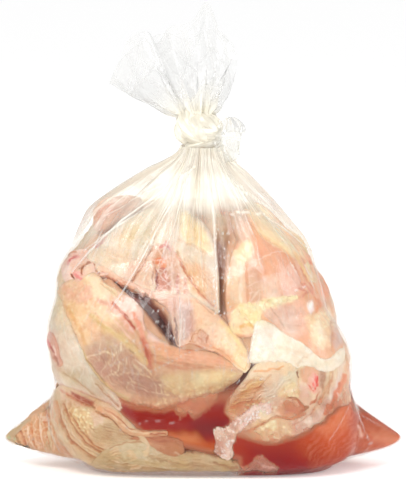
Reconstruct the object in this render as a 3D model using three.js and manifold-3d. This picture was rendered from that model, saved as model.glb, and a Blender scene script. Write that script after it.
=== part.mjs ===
// Raw chicken breasts with their wings, in a clear bag that is knotted at the neck.
// Millimetres, +Z up, the front of the bag towards -Y. The origin is the middle of the bag's own
// box on the table: halfway between the corners' tips, at the height of the base.
//
// The bag is one piece of film drawn tight over the meat and its juice, so it is one solid of its
// outer form: the lumpy sack, its two bottom corners, the gathered neck, the knot with the loop
// that was pulled through it, and the ruffled mouth that stands above the knot.
import * as THREE from "three";
import { mergeVertices } from "three/addons/utils/BufferGeometryUtils.js";
import Module from "manifold-3d";

const wasm = await Module();
wasm.setup();

// Driving sizes of the bag
const cornerSpan = 318.6; // tip to tip of the bottom corners
const cornerTipHeight = 23; // the tips are pulled clear of the table
const neckHeight = 243; // where the film is gathered below the knot
const neckRadius = 20.5;
const knotHeight = 266; // the knot's middle
const knotX = -4; // the neck stands a little left of the middle
const mouthHeight = 367; // the tallest corner of the mouth
const filmWall = 1.3; // the mouth's film, thicker here than the real 0.05

// How finely the surfaces are stepped
const sackSides = 90;
const sackLevels = 33;
const mouthSides = 54;
const mouthLevels = 8;

// The masses of chicken that push the film out: centre and half sizes of each.
const masses = [
  { piece: "breast open at the front left", at: [-56, -32, 107], half: [67, 52, 57] },
  { piece: "its far half, over the cavity", at: [2, -36, 136], half: [54, 43, 37] },
  { piece: "shoulder at the left", at: [-86, -8, 146], half: [30, 40, 31] },
  { piece: "breast at the upper left", at: [-46, 5, 178], half: [49, 53, 43] },
  { piece: "breast standing at the right", at: [43, -14, 147], half: [46, 60, 53] },
  { piece: "wing at the right", at: [66, -34, 86], half: [51, 49, 42] },
  { piece: "wing folded under at the left", at: [-58, -21, 41], half: [63, 59, 43] },
  { piece: "juice at the right", at: [60, -11, 41], half: [61, 66, 43] },
  { piece: "juice between the two wings", at: [4, -42, 50], half: [52, 32, 48] },
  { piece: "breast at the back left", at: [-52, 37, 104], half: [64, 47, 61] },
  { piece: "breast at the back right", at: [50, 38, 110], half: [57, 45, 58] },
  { piece: "wing across the back", at: [4, 43, 57], half: [69, 43, 37] },
  { piece: "rib side at the top of the back", at: [4, 24, 178], half: [45, 43, 37] },
];

// The juice settles to a flat, round-edged cushion at the bottom of the bag.
const cushion = { at: [8, 0, 27], half: [115, 76, 27], edge: 23, squareness: 3 };

// How tightly the film bridges the hollows between masses: 0 clings, 1 is stretched straight.
const clingWidth = 4; // how softly two masses run into each other
const tautUpward = 0.6;
const tautAround = 0.45;
const freeFilm = { from: 150, to: 205 }; // above the chicken the film runs straight to the neck

// The folds that the knot gathers: number round the neck, share of the radius and turn of each set.
const pleats = [
  { count: 7, depth: 0.1, turn: 0.4 },
  { count: 11, depth: 0.12, turn: 1.9 },
  { count: 16, depth: 0.07, turn: 3.1 },
];
const pleatRun = 100; // how far below the neck the folds die out

const lerp = THREE.MathUtils.lerp;
const smooth = THREE.MathUtils.smoothstep;
const point = (x, y, z) => new THREE.Vector3(x, y, z);

// Rings and solids

// A closed surface through rings of equally many points, which turn anticlockwise seen from
// above. A fan closes each end.
function loft(rings) {
  const sides = rings[0].length;
  const middle = (ring) => ring.reduce((sum, p) => sum.add(p), point(0, 0, 0)).divideScalar(sides);
  const points = [...rings.flat(), middle(rings[0]), middle(rings.at(-1))];
  const [below, above] = [points.length - 2, points.length - 1];
  const faces = [];
  for (let level = 0; level < rings.length; level++) {
    for (let side = 0; side < sides; side++) {
      const next = (side + 1) % sides;
      const [a, b] = [level * sides + side, level * sides + next];
      if (level === 0) faces.push(below, b, a);
      if (level === rings.length - 1) faces.push(above, a, b);
      else faces.push(a, b, b + sides, a, b + sides, a + sides);
    }
  }
  return new THREE.BufferGeometry().setFromPoints(points).setIndex(faces);
}

function solidOf(geometry) {
  const bare = geometry.clone();
  bare.deleteAttribute("normal");
  bare.deleteAttribute("uv");
  const merged = mergeVertices(bare, 1e-3);
  return new wasm.Manifold(
    new wasm.Mesh({
      numProp: 3,
      vertProperties: merged.attributes.position.array,
      triVerts: new Uint32Array(merged.index.array),
    }),
  );
}

function geometryOf(solid) {
  const mesh = solid.getMesh();
  const geometry = new THREE.BufferGeometry();
  geometry.setAttribute("position", new THREE.BufferAttribute(mesh.vertProperties, 3));
  geometry.setIndex(new THREE.BufferAttribute(mesh.triVerts, 1));
  geometry.computeVertexNormals();
  return geometry;
}

// The sack

// Distance from a point to an ellipsoid, near enough for blending.
function ellipsoidDistance(x, y, z, { at, half }) {
  const [qx, qy, qz] = [(x - at[0]) / half[0], (y - at[1]) / half[1], (z - at[2]) / half[2]];
  const steep = Math.sqrt((qx / half[0]) ** 2 + (qy / half[1]) ** 2 + (qz / half[2]) ** 2);
  const length = Math.sqrt(qx * qx + qy * qy + qz * qz);
  return steep < 1e-9 ? -Math.min(...half) : (length * (length - 1)) / steep;
}

// Distance to the cushion, whose plan is an ellipse drawn towards a rectangle.
function cushionDistance(x, y, z) {
  const { at, half, edge, squareness: n } = cushion;
  const plan = (Math.abs((x - at[0]) / half[0]) ** n + Math.abs((y - at[1]) / half[1]) ** n) ** (1 / n);
  const beyondSide = (plan - 1) * half[1] + edge;
  const beyondTop = Math.abs(z - at[2]) - half[2] + edge;
  const outside = Math.hypot(Math.max(beyondSide, 0), Math.max(beyondTop, 0));
  return outside + Math.min(Math.max(beyondSide, beyondTop), 0) - edge;
}

// Below zero inside the chicken and juice. The masses run softly into each other.
function fillDistance(x, y, z) {
  let sum = Math.exp(-cushionDistance(x, y, z) / clingWidth);
  for (const mass of masses) sum += Math.exp(-ellipsoidDistance(x, y, z, mass) / clingWidth);
  return -clingWidth * Math.log(sum);
}

// How far the contents reach from the upright axis, in one direction at one height.
function fillReach(angle, z) {
  const [dx, dy] = [Math.cos(angle), Math.sin(angle)];
  const stride = 4;
  for (let r = cornerSpan / 2; r > 0; r -= stride) {
    if (fillDistance(dx * r, dy * r, z) > 0) continue;
    let [inside, outside] = [r, r + stride];
    for (let i = 0; i < 9; i++) {
      const half = (inside + outside) / 2;
      if (fillDistance(dx * half, dy * half, z) > 0) outside = half;
      else inside = half;
    }
    return inside;
  }
  return 0;
}

// The line stretched over a profile of radii against height, as film is over lumps.
function stretchedOver(heights, radii) {
  const kept = [];
  const rises = (a, b, c) =>
    (radii[b] - radii[a]) * (heights[c] - heights[a]) <= (radii[c] - radii[a]) * (heights[b] - heights[a]);
  for (let i = 0; i < heights.length; i++) {
    while (kept.length > 1 && rises(kept.at(-2), kept.at(-1), i)) kept.pop();
    kept.push(i);
  }
  return heights.map((z, i) => {
    const hi = Math.max(1, kept.findIndex((k) => k >= i));
    const [a, b] = [kept[hi - 1], kept[hi]];
    return lerp(radii[a], radii[b], (z - heights[a]) / (heights[b] - heights[a]));
  });
}

// The line stretched round a slice: how far its convex outline reaches at each angle.
function stretchedAround(angles, radii) {
  const dots = angles.map((a, i) => [radii[i] * Math.cos(a), radii[i] * Math.sin(a)]);
  const cross = (o, a, b) => (a[0] - o[0]) * (b[1] - o[1]) - (a[1] - o[1]) * (b[0] - o[0]);
  const half = (list) => {
    const chain = [];
    for (const dot of list) {
      while (chain.length > 1 && cross(chain.at(-2), chain.at(-1), dot) <= 0) chain.pop();
      chain.push(dot);
    }
    return chain.slice(0, -1);
  };
  const sorted = [...dots].sort((a, b) => a[0] - b[0] || a[1] - b[1]);
  const outline = [...half(sorted), ...half(sorted.reverse())];
  return angles.map((angle) => {
    const way = [Math.cos(angle), Math.sin(angle)];
    let reach = 0;
    outline.forEach((a, i) => {
      const b = outline[(i + 1) % outline.length];
      const edge = [b[0] - a[0], b[1] - a[1]];
      const facing = way[0] * edge[1] - way[1] * edge[0];
      if (facing < 1e-9) return;
      const along = (way[1] * a[0] - way[0] * a[1]) / facing;
      if (along >= -1e-6 && along <= 1 + 1e-6) {
        reach = Math.max(reach, (a[0] * edge[1] - a[1] * edge[0]) / facing);
      }
    });
    return reach;
  });
}

function pleatAt(angle, z) {
  const strength = smooth(z, neckHeight - pleatRun, neckHeight);
  const waves = pleats.map(({ count, depth, turn }) => depth * Math.cos(count * angle + turn));
  return strength ** 1.5 * waves.reduce((sum, w) => sum + w, 0);
}

// Above this height the sack leans from the table's middle towards the neck.
const leanFrom = 140;
const leanAt = (z) => knotX * smooth(z, leanFrom, neckHeight);

function sack() {
  const angles = Array.from({ length: sackSides }, (_, i) => (i / sackSides) * 2 * Math.PI);
  const share = (i) => i / (sackLevels - 1);
  const heights = Array.from({ length: sackLevels }, (_, i) => neckHeight * share(i));
  const fill = angles.map((angle) => {
    const reach = heights.map((z) => Math.max(fillReach(angle, z), neckRadius));
    reach[sackLevels - 1] = neckRadius;
    const tight = stretchedOver(heights, reach);
    const tautAt = (z) => lerp(tautUpward, 1, smooth(z, freeFilm.from, freeFilm.to));
    return heights.map((z, j) => lerp(reach[j], tight[j], tautAt(z)));
  });
  const rings = heights.map((z, j) => {
    const radii = fill.map((column) => column[j]);
    const tight = stretchedAround(angles, radii);
    return angles.map((angle, i) => {
      const r = lerp(radii[i], tight[i], tautAround) * (1 + pleatAt(angle, z));
      return point(leanAt(z) + r * Math.cos(angle), r * Math.sin(angle), z);
    });
  });
  // The gathered neck draws in below the knot and goes straight up into it.
  const neck = [
    { share: 0.78, z: neckHeight + 8 },
    { share: 0.72, z: knotHeight - 5 },
  ];
  const drawnIn = ({ share, z }) => rings.at(-1).map((p) => point(lerp(knotX, p.x, share), p.y * share, z));
  return loft([...rings, ...neck.map(drawnIn)]);
}

// The bottom corners: the ends of the bag's flat seam, which stand out as pointed ears.
function corner(side) {
  const tip = { x: side * (cornerSpan / 2), z: cornerTipHeight, bluntness: 0.012 };
  const root = { x: side * 74, top: side < 0 ? 96 : 84, bottom: 0, halfDepth: 70 };
  const [hollowAbove, bulgeBelow] = [1.05, 0.45]; // how the two edges curve between tip and root
  const [ridged, flattened] = [1.2, 0.85]; // a soft ridge runs along the top, and the underside is flat
  const steps = 10;
  const sides = 16;
  return loft(
    Array.from({ length: steps + 1 }, (_, i) => {
      const t = lerp(tip.bluntness, 1, i / steps);
      const x = lerp(tip.x, root.x, t);
      const top = lerp(tip.z, root.top, t ** hollowAbove);
      const bottom = lerp(tip.z, root.bottom, t ** bulgeBelow);
      return Array.from({ length: sides }, (_, k) => {
        const a = (k / sides) * 2 * Math.PI;
        const [c, s] = [Math.cos(a), Math.sin(a)];
        const rise = s > 0 ? s ** ridged : -((-s) ** flattened);
        return point(x, -side * root.halfDepth * t * c, (top + bottom) / 2 + (rise * (top - bottom)) / 2);
      });
    }),
  );
}

// The knot: the gathered film wraps once round itself and is pulled through.
function knotBall() {
  const half = { x: 18.5, y: 17, z: 14.5 };
  const folds = { count: 9, depth: 0.06, twist: 6.6 };
  const [steps, sides] = [12, 36];
  const rings = [];
  for (let i = 1; i < steps; i++) {
    const tilt = -Math.PI / 2 + (i / steps) * Math.PI;
    rings.push(
      Array.from({ length: sides }, (_, k) => {
        const a = (k / sides) * 2 * Math.PI;
        const fold = 1 + folds.depth * Math.cos(folds.count * a + folds.twist * tilt);
        const r = Math.cos(tilt) * fold;
        const z = knotHeight + half.z * Math.sin(tilt);
        return point(knotX + half.x * r * Math.cos(a), half.y * r * Math.sin(a), z);
      }),
    );
  }
  return loft(rings);
}

// A turn of the gathered film round the knot.
function knotWrap({ radius, tube, tilt, roll, lift, shift }) {
  const [tubeSides, ringSides, height] = [10, 32, 1.3];
  return new THREE.TorusGeometry(radius, tube, tubeSides, ringSides)
    .scale(1, 1, height)
    .rotateX(tilt)
    .rotateY(roll)
    .translate(knotX + shift, 0, knotHeight + lift);
}

// The loop of film that was pulled through the knot puffs out at its right like a small ear.
function knotLoop() {
  const [bottom, top] = [knotHeight - 30, knotHeight + 11];
  const [aside, forward] = [22, -3]; // from the knot's middle
  const half = { x: 15, y: 9.5 };
  const bend = { by: 3, turn: 0.9 };
  const fullness = 0.6; // below 1 the ends are blunt
  const crumples = [
    { count: 4, depth: 0.13, twist: 6 },
    { count: 7, depth: 0.07, twist: -4 },
  ];
  const [steps, sides] = [13, 24];
  return loft(
    Array.from({ length: steps + 1 }, (_, i) => {
      const t = lerp(0.03, 0.97, i / steps);
      const z = lerp(bottom, top, t);
      const size = Math.sin(Math.PI * t) ** fullness;
      const middle = knotX + aside - bend.by * Math.sin(2 * Math.PI * t - bend.turn);
      return Array.from({ length: sides }, (_, k) => {
        const a = (k / sides) * 2 * Math.PI;
        const waves = crumples.map(({ count, depth, twist }) => depth * Math.cos(count * a + twist * t));
        const r = size * (1 + waves.reduce((sum, w) => sum + w, 0));
        return point(middle + half.x * r * Math.cos(a), forward + half.y * r * Math.sin(a), z);
      });
    }),
  );
}

// The mouth of the bag: its rim runs round through these points, from the right past the back.
const mouthRim = new THREE.CatmullRomCurve3(
  [
    [23, 4, 300],
    [26, 12, 323],
    [10, 18, 342],
    [-13, 12, 335],
    [-30, 19, 339],
    [-52, 14, 330],
    [-66, 7, 317],
    [-73, -4, 302],
    [-66, -12, 319],
    [-57, -15, 339],
    [-43, -8, 343],
    [-36, 0, 333],
    [-26, -13, 347],
    [-9, -15, 352],
    [3, -10, mouthHeight],
    [14, -14, 344],
    [25, -12, 330],
    [20, -5, 314],
  ].map((p) => point(...p)),
  true,
  "centripetal",
);

// The film above the knot: t runs from where the knot gathers it, at 0, to its rim, at 1.
function mouth() {
  const bottom = knotHeight + 6;
  const gather = { radius: 8, folds: 9, depth: 0.16, turn: 0.1 };
  const fold = { count: 10, depth: 3.2, twist: 2 };
  const sagAtLeft = 4; // the film's long lower edge at the left hangs a little
  const flare = 1.12; // above 1 the film opens out towards its rim
  const rimStart = 0.02;
  const filmAt = (side, t) => {
    const share = side / mouthSides;
    const angle = share * 2 * Math.PI + gather.turn;
    const [c, s] = [Math.cos(angle), Math.sin(angle)];
    const gathered = gather.radius * (1 + gather.depth * Math.cos(gather.folds * angle));
    const low = point(knotX + gathered * c, gathered * s, bottom);
    const high = mouthRim.getPoint((share + rimStart) % 1);
    const swell = Math.sin(Math.PI * t);
    const out = fold.depth * swell * Math.cos(fold.count * angle + fold.twist * t);
    const sag = sagAtLeft * swell * smooth(-c, 0.3, 1);
    return low.lerp(high, t ** flare).add(point(out * c, out * s, -sag));
  };
  const normalAt = (side, t) => {
    const around = filmAt(side + 0.5, t).sub(filmAt(side - 0.5, t));
    const upward = filmAt(side, Math.min(1, t + 0.03)).sub(filmAt(side, Math.max(0, t - 0.03)));
    return around.cross(upward).normalize();
  };
  const filmInside = (side, t, depth) => filmAt(side, t).addScaledVector(normalAt(side, t), -depth);
  const ring = (t, depth) => Array.from({ length: mouthSides }, (_, side) => filmInside(side, t, depth));
  const levels = Array.from({ length: mouthLevels + 1 }, (_, i) => i / mouthLevels);
  const outer = levels.map((t) => ring(t, 0));
  const inner = levels
    .filter((t) => t > 0.12)
    .reverse()
    .map((t) => ring(t, filmWall));
  return loft([...outer, ...inner]);
}

// The whole bag
const forms = [
  sack(),
  corner(-1),
  corner(1),
  knotBall(),
  knotWrap({ radius: 14, tube: 5.6, tilt: 0.5, roll: 0.42, lift: 3, shift: 0.5 }),
  knotWrap({ radius: 11.5, tube: 4.8, tilt: -0.2, roll: -0.25, lift: -14, shift: 5 }),
  knotLoop(),
  mouth(),
].map(solidOf);
// Joining leaves slivers thinner than a hair, which are merged away. Small hollows that it seals
// between the folds are filled: only the outer skin is kept.
const sliver = 0.08;
const fused = forms.reduce((whole, form) => whole.add(form)).simplify(sliver);
const bagSolid = fused.decompose().reduce((most, shell) => (shell.volume() > most.volume() ? shell : most));

// The origin goes to the middle of the bag's box, on the table.
const outerForm = geometryOf(bagSolid);
outerForm.computeBoundingBox();
const middle = outerForm.boundingBox.getCenter(point(0, 0, 0));
outerForm.translate(-middle.x, -middle.y, -outerForm.boundingBox.min.z);

const film = new THREE.MeshStandardMaterial({ color: 0xe9cdb6, roughness: 0.25, metalness: 0 });

const bag = new THREE.Mesh(outerForm, film);
bag.name = "bag";

const model = new THREE.Group();
model.add(bag);
export default model;
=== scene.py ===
# %% [markdown]
# # A knotted clear bag of raw chicken breasts with wings
# The bag is limp film drawn tight over wet meat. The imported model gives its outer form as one
# solid. Here that solid is replaced by what it stands for: film, chicken pieces, juice and knot.
# Everything is in metres, +Z up, with the bag's front towards -Y.

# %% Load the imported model
import math

import bmesh
import bpy
import numpy as np
from mathutils import Matrix, Vector
from mathutils.bvhtree import BVHTree


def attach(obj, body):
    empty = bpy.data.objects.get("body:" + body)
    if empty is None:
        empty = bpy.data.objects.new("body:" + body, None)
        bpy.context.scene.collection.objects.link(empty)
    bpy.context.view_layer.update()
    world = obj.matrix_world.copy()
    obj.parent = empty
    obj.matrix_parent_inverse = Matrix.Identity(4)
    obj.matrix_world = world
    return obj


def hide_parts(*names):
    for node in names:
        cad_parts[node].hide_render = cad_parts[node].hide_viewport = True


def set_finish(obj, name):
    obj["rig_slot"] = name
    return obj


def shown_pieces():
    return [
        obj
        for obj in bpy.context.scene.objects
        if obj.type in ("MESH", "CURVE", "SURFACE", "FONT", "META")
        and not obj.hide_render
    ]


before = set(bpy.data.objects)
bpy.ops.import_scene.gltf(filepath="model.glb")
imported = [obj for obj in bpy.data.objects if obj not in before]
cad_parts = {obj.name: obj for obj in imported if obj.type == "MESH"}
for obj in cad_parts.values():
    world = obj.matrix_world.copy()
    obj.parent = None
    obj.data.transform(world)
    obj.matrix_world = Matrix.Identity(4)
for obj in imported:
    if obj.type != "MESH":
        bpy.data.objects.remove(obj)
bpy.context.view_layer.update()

# %% [markdown]
# ## The camera
# The photograph looks slightly down on the bag from far away, so a long lens does it. Its pixels
# are also the ruler for the pieces: each is drawn where it shows in the 406 by 480 picture, and a
# ray through that pixel finds its place on the bag. Modelling by eye beside the picture would do
# too, but a ruler puts every piece where it shows at the first try.

# %% Camera and pixel ruler
ELEVATION = math.radians(8)
DISTANCE = 6.0
WIDTH, HEIGHT = 406, 480  # the picture, in pixels
PIXEL = 0.0007828  # what one pixel covers at the bag's middle
AIM = Vector((0, 0, 0.178))


def looking(azimuth=0):
    """Where the eye is, and its forward, right and up directions, for a view round the bag."""
    a, e = math.radians(azimuth), ELEVATION
    back = Vector((math.sin(a) * math.cos(e), -math.cos(a) * math.cos(e), math.sin(e)))
    right = Vector((math.cos(a), math.sin(a), 0))
    return AIM + back * DISTANCE, -back, right, back.cross(right)


def pixels(points, azimuth=0):
    """The picture's pixels at which an array of points is seen."""
    eye, forward, right, up = (np.array(v) for v in looking(azimuth))
    way = points - eye
    size = DISTANCE / (way @ forward) / PIXEL
    return WIDTH / 2 + (way @ right) * size, HEIGHT / 2 - (way @ up) * size


camera_data = bpy.data.cameras.new("camera")
camera_data.lens = camera_data.sensor_width * DISTANCE / (HEIGHT * PIXEL)
camera_data.clip_end = 50
camera = bpy.data.objects.new("camera", camera_data)
bpy.context.scene.collection.objects.link(camera)
camera.location, forward, _, _ = looking()
camera.rotation_euler = forward.to_track_quat("-Z", "Y").to_euler()
bpy.context.scene.camera = camera
print("lens", round(camera_data.lens), "mm")

# %% [markdown]
# ## The bag's form as a table
# Film, meat and juice all follow one surface. Rays towards the bag's upright axis read how far it
# stands out at each turn and height. A little smoothing takes the facets out. A Shrinkwrap
# modifier could lay each mesh on the bag as well, but a table answers for any number of points at
# once and can say where a place just inside the film is.

# %% Read the form
TURNS, STOREYS, TOP = 720, 180, 0.2525
NECK = 0.2335  # above this the loop of the knot hangs over the sack
NECK_RADIUS = 0.0165  # how wide the gathered film is at the knot
OUTSIDE = 0.3  # a ray starts this far from the axis
MISSED = 0.02  # the radius where a ray finds nothing
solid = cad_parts["bag"].data
form = BVHTree.FromPolygons([v.co for v in solid.vertices], [p.vertices for p in solid.polygons])
heights = np.linspace(0.0008, TOP, STOREYS)
turns = np.linspace(-math.pi, math.pi, TURNS, endpoint=False)


def soften(table, across, along):
    """Blurs a table of turns by heights, by so many cells each way."""
    for cells, axis in ((across, 0), (along, 1)):
        reach = np.arange(-3 * cells, 3 * cells + 1)
        share = np.exp(-0.5 * (reach / cells) ** 2)
        share /= share.sum()
        if axis:
            margins = [(0, 0), (len(reach) // 2,) * 2] + [(0, 0)] * (table.ndim - 2)
            padded = np.pad(table, margins, "edge")
            table = sum(s * padded[:, i:i + table.shape[1]] for i, s in enumerate(share))
        else:
            table = sum(s * np.roll(table, r, 0) for r, s in zip(reach, share))
    return table


def read_form():
    """How far the bag stands out from its upright axis at each turn and height."""
    radius = np.zeros((TURNS, STOREYS))
    for i, turn in enumerate(turns):
        way = Vector((math.sin(turn), -math.cos(turn), 0))
        for j, height in enumerate(heights):
            start = way * OUTSIDE + Vector((0, 0, height))
            hit = form.ray_cast(start, -way)[0]
            radius[i, j] = math.hypot(hit.x, hit.y) if hit else MISSED
    last = int(np.searchsorted(heights, NECK))
    for j in range(last + 1, STOREYS):
        share = (heights[j] - heights[last]) / (TOP - heights[last])
        narrow = (1 - share) ** 1.6
        radius[:, j] = radius[:, last] * narrow + NECK_RADIUS * (1 - narrow)
    return soften(radius, 2, 1)


radius_table = read_form()
way_table = np.stack([np.sin(turns), -np.cos(turns)], 1)
point_table = np.concatenate([
    radius_table[:, :, None] * way_table[:, None, :],
    np.broadcast_to(heights[None, :, None], (TURNS, STOREYS, 1))], 2)
around = np.roll(point_table, -1, 0) - np.roll(point_table, 1, 0)
upward = np.gradient(point_table, axis=1)
normal_table = np.cross(around, upward)
normal_table /= np.linalg.norm(normal_table, axis=2, keepdims=True)
normal_table = soften(normal_table, 14, 7)
normal_table /= np.linalg.norm(normal_table, axis=2, keepdims=True)
print("girth at 100 mm:", round(float(radius_table[:, 70].mean() * 2 * math.pi), 3), "m")


def read_table(table, turn, height):
    """The table's value at any turns and heights."""
    u = (np.asarray(turn) + math.pi) / (2 * math.pi) * TURNS
    v = np.clip((np.asarray(height) - heights[0]) / (TOP - heights[0]), 0, 1) * (STOREYS - 1)
    i, j = np.floor(u).astype(int), np.minimum(np.floor(v).astype(int), STOREYS - 2)
    fu, fv = u - i, v - j
    if table.ndim == 3:
        fu, fv = fu[..., None], fv[..., None]
    i0, i1 = i % TURNS, (i + 1) % TURNS
    return ((table[i0, j] * (1 - fv) + table[i0, j + 1] * fv) * (1 - fu)
            + (table[i1, j] * (1 - fv) + table[i1, j + 1] * fv) * fu)


LOWEST = 0.0012  # no piece comes nearer to the table than this


def on_bag(turn, height, inward=0.0):
    """Points on the bag's surface, or so far inside it."""
    radius = read_table(radius_table, turn, height)
    place = np.stack([radius * np.sin(turn), -radius * np.cos(turn), height], -1)
    place = place - read_table(normal_table, turn, height) * np.asarray(inward)[..., None]
    place[..., 2] = np.maximum(place[..., 2], LOWEST)
    return place


LOWEST_PIXEL = 475  # the bag's foot


def spot(px, py, azimuth=0):
    """The turn and height of the bag's surface that shows at a pixel. Past the outline it goes on round."""
    eye, forward, right, up = looking(azimuth)
    sign = 1 if px > WIDTH / 2 else -1
    for missing in np.arange(0, 150, 0.5):  # pixels past the bag's outline
        across, above = px - sign * missing - WIDTH / 2, HEIGHT / 2 - min(py, LOWEST_PIXEL)
        target = AIM + right * (across * PIXEL) + up * (above * PIXEL)
        hit = form.ray_cast(eye, (target - eye).normalized())[0]
        if hit:
            break
    middle = math.radians(azimuth)
    turn = middle + (math.atan2(hit.x, -hit.y) - middle + math.pi) % (2 * math.pi) - math.pi
    return turn + sign * missing * PIXEL / math.hypot(hit.x, hit.y), max(hit.z, 0.001)


GIRTH = 0.1  # the bag's usual radius, which turns angles into lengths


def drawn(points, count, azimuth=0, closed=False):
    """A smooth line on the bag through pixels of the picture, as turns, heights and what else they hold."""
    spots = [(spot(x, y, azimuth), rest) for x, y, *rest in points]
    path = curve([(turn * GIRTH, height, *rest) for (turn, height), rest in spots], count, closed)
    path[:, 0] /= GIRTH
    return path


# %% [markdown]
# ## Making a pressed piece
# Soft meat pushed against film takes the film's form where it touches and rounds away at its
# edges. So each piece starts as a ball. Most of it is laid against the bag inside an outline drawn
# over the picture, its rim rounds inwards, and the rest closes it inside the bag. Sculpting would
# give such forms too, but a drawn outline is easier to read and to correct. A round piece is a
# lump inside one outline. A long one, such as loose skin or half of the open breast, is a band
# between two drawn edges.

# %% Smooth lines
def smooth(x, low=0.0, high=1.0):
    """0 up to low, 1 from high on, and a soft rise between them."""
    x = np.clip((x - low) / (high - low), 0, 1)
    return x * x * (3 - 2 * x)


def curve(points, count, closed=False):
    """Points evenly along a smooth line through the given ones."""
    points = np.array(points, float)
    n = len(points)
    pick = (lambda i: points[i % n]) if closed else (lambda i: points[np.clip(i, 0, n - 1)])
    steps = count * 8  # fine enough to measure the line's length by
    s = np.linspace(0, n if closed else n - 1, steps, endpoint=not closed)
    i, f = np.floor(s).astype(int), (s % 1)[:, None]
    a, b, c, d = pick(i - 1), pick(i), pick(i + 1), pick(i + 2)
    fine = b + 0.5 * f * (c - a + f * (2 * a - 5 * b + 4 * c - d + f * (3 * (b - c) + d - a)))
    far = np.concatenate([[0], np.cumsum(np.linalg.norm(np.diff(fine[:, :2], axis=0), axis=1))])
    even = np.linspace(0, far[-1], count, endpoint=not closed)
    return np.stack([np.interp(even, far, column) for column in fine.T], 1)


def far_from(px, py, path):
    """How far pixels are from a drawn line, and how wide the line is there."""
    path = np.array(path, float)
    best, wide = np.full(len(px), 1e9), np.ones(len(px))
    for a, b in zip(path[:-1], path[1:]):
        run = b[:2] - a[:2]
        along = np.clip(((px - a[0]) * run[0] + (py - a[1]) * run[1]) / (run @ run + 1e-9), 0, 1)
        far = np.hypot(px - a[0] - along * run[0], py - a[1] - along * run[1])
        near = far < best
        best = np.where(near, far, best)
        if len(a) > 2:
            wide = np.where(near, a[2] + along * (b[2] - a[2]), wide)
    return best, wide


print("halfway along a bent line:", curve([(0, 0), (10, 10), (20, 0)], 3)[1].round(1))

# %% Marks with soft edges
def only_near(path, reach, measure):
    """A mark that is measured only at pixels within reach of its path, and is 0 elsewhere."""
    low, high = np.min(path, 0)[:2] - reach, np.max(path, 0)[:2] + reach

    def mark(px, py):
        near = (px > low[0]) & (px < high[0]) & (py > low[1]) & (py < high[1])
        value = np.zeros(len(px))
        value[near] = measure(px[near], py[near])
        return value
    return mark


def line(path, soft=0.8):
    """A brush stroke: 1 along the line, 0 at its half width, the third number of each point."""
    path = np.array(path, float)

    def measure(px, py):
        far, wide = far_from(px, py, path)
        return 1 - smooth(far / wide, 1 - soft, 1)
    return only_near(path, path[:, 2].max(), measure)


def patch(outline, soft=3.0):
    """A filled outline with a soft edge, so many pixels wide."""
    outline = np.array(outline, float)

    def measure(px, py):
        far, _ = far_from(px, py, np.concatenate([outline, outline[:1]]))
        inside = np.zeros(len(px), bool)
        for a, b in zip(outline, np.roll(outline, -1, 0)):
            crosses = (a[1] > py) != (b[1] > py)
            with np.errstate(divide="ignore", invalid="ignore"):
                inside ^= crosses & (px < (b[0] - a[0]) * (py - a[1]) / (b[1] - a[1]) + a[0])
        return smooth(np.where(inside, far, -far), -soft, soft)
    return only_near(outline, soft, measure)


# %% Colours and folds as marks
def wash(code, outline, soft=4.0, strength=0.9):
    """A broad patch of a colour."""
    return patch(outline, soft), code, strength


def stroke(code, path, soft=0.8, strength=0.9):
    """A line of a colour."""
    return line(path, soft), code, strength


def groove(depth, path):
    """A fold so many millimetres deep. A negative depth is a ridge."""
    return line(path, 1.0), depth


# %% Unevenness and fine lines side by side
def ripple(points, size, seed):
    """Smooth lumps of about the given size, between -1 and 1."""
    dice = np.random.default_rng(seed)
    waves = 0
    for _ in range(7):  # waves that run different ways
        way = dice.normal(size=points.shape[1])
        way *= 2 * math.pi / size / np.linalg.norm(way) * dice.uniform(0.6, 1.4)
        waves = waves + np.sin(points @ way + dice.uniform(0, 6.28))
    return waves / 4


def arcs(outline, centre, spacing, soft=4.0):
    """Thin lines side by side inside an outline, as arcs round a centre, so many pixels apart."""
    inside = patch(outline, soft)

    def mark(px, py):
        value = inside(px, py)
        near = value > 0
        pixel = np.stack([px[near], py[near]], 1)
        phase = np.hypot(*(pixel - centre).T) / spacing
        phase = phase + 0.5 * ripple(pixel, 24, 41) + 0.14 * ripple(pixel, 8, 42)
        fading = np.clip(0.7 + 0.5 * ripple(pixel, 14, 43), 0, 1)
        value[near] *= np.abs(np.cos(math.pi * phase)) ** 4 * fading
        return value
    return mark


def pleats(depth, outline, centre, spacing, soft=4.0):
    """Fine folds side by side, so many millimetres deep."""
    return arcs(outline, centre, spacing, soft), depth


def fibres(code, outline, centre, spacing, strength=0.4):
    """Fine lines of a colour, as the strands of a muscle make."""
    return arcs(outline, centre, spacing), code, strength


# %% Nets, spots and bumps
def nearest(outline, cell, seed):
    """Measures each pixel's distances to the two nearest of some points strewn inside an outline."""
    outline = np.array(outline, float)
    low, high = outline.min(0) - cell, outline.max(0) + cell
    strewn = np.random.default_rng(seed).uniform(low, high, (max(2, int(np.prod((high - low) / cell))), 2))

    def measure(px, py):
        far = np.hypot(px[:, None] - strewn[:, 0], py[:, None] - strewn[:, 1])
        return np.partition(far, 1, axis=1)[:, :2].T
    return measure


def web(code, outline, cell, wide=0.6, strength=0.6, seed=1):
    """A net of thin lines, as the tissue between muscles makes, with cells of about so many pixels."""
    inside, measure = patch(outline, 4.0), nearest(outline, cell, seed)

    def mark(px, py):
        value = inside(px, py)
        near = value > 0
        if near.any():
            first, second = measure(px[near], py[near])
            value[near] *= 1 - smooth(second - first, 0, 2 * wide)
        return value
    return mark, code, strength


def spots(outline, cell, size, seed=1):
    """Small round spots strewn inside an outline."""
    inside, measure = patch(outline, 3.0), nearest(outline, cell, seed)

    def mark(px, py):
        value = inside(px, py)
        near = value > 0
        if near.any():
            value[near] *= 1 - smooth(measure(px[near], py[near])[0], 0.2 * size, size)
        return value
    return mark


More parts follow.
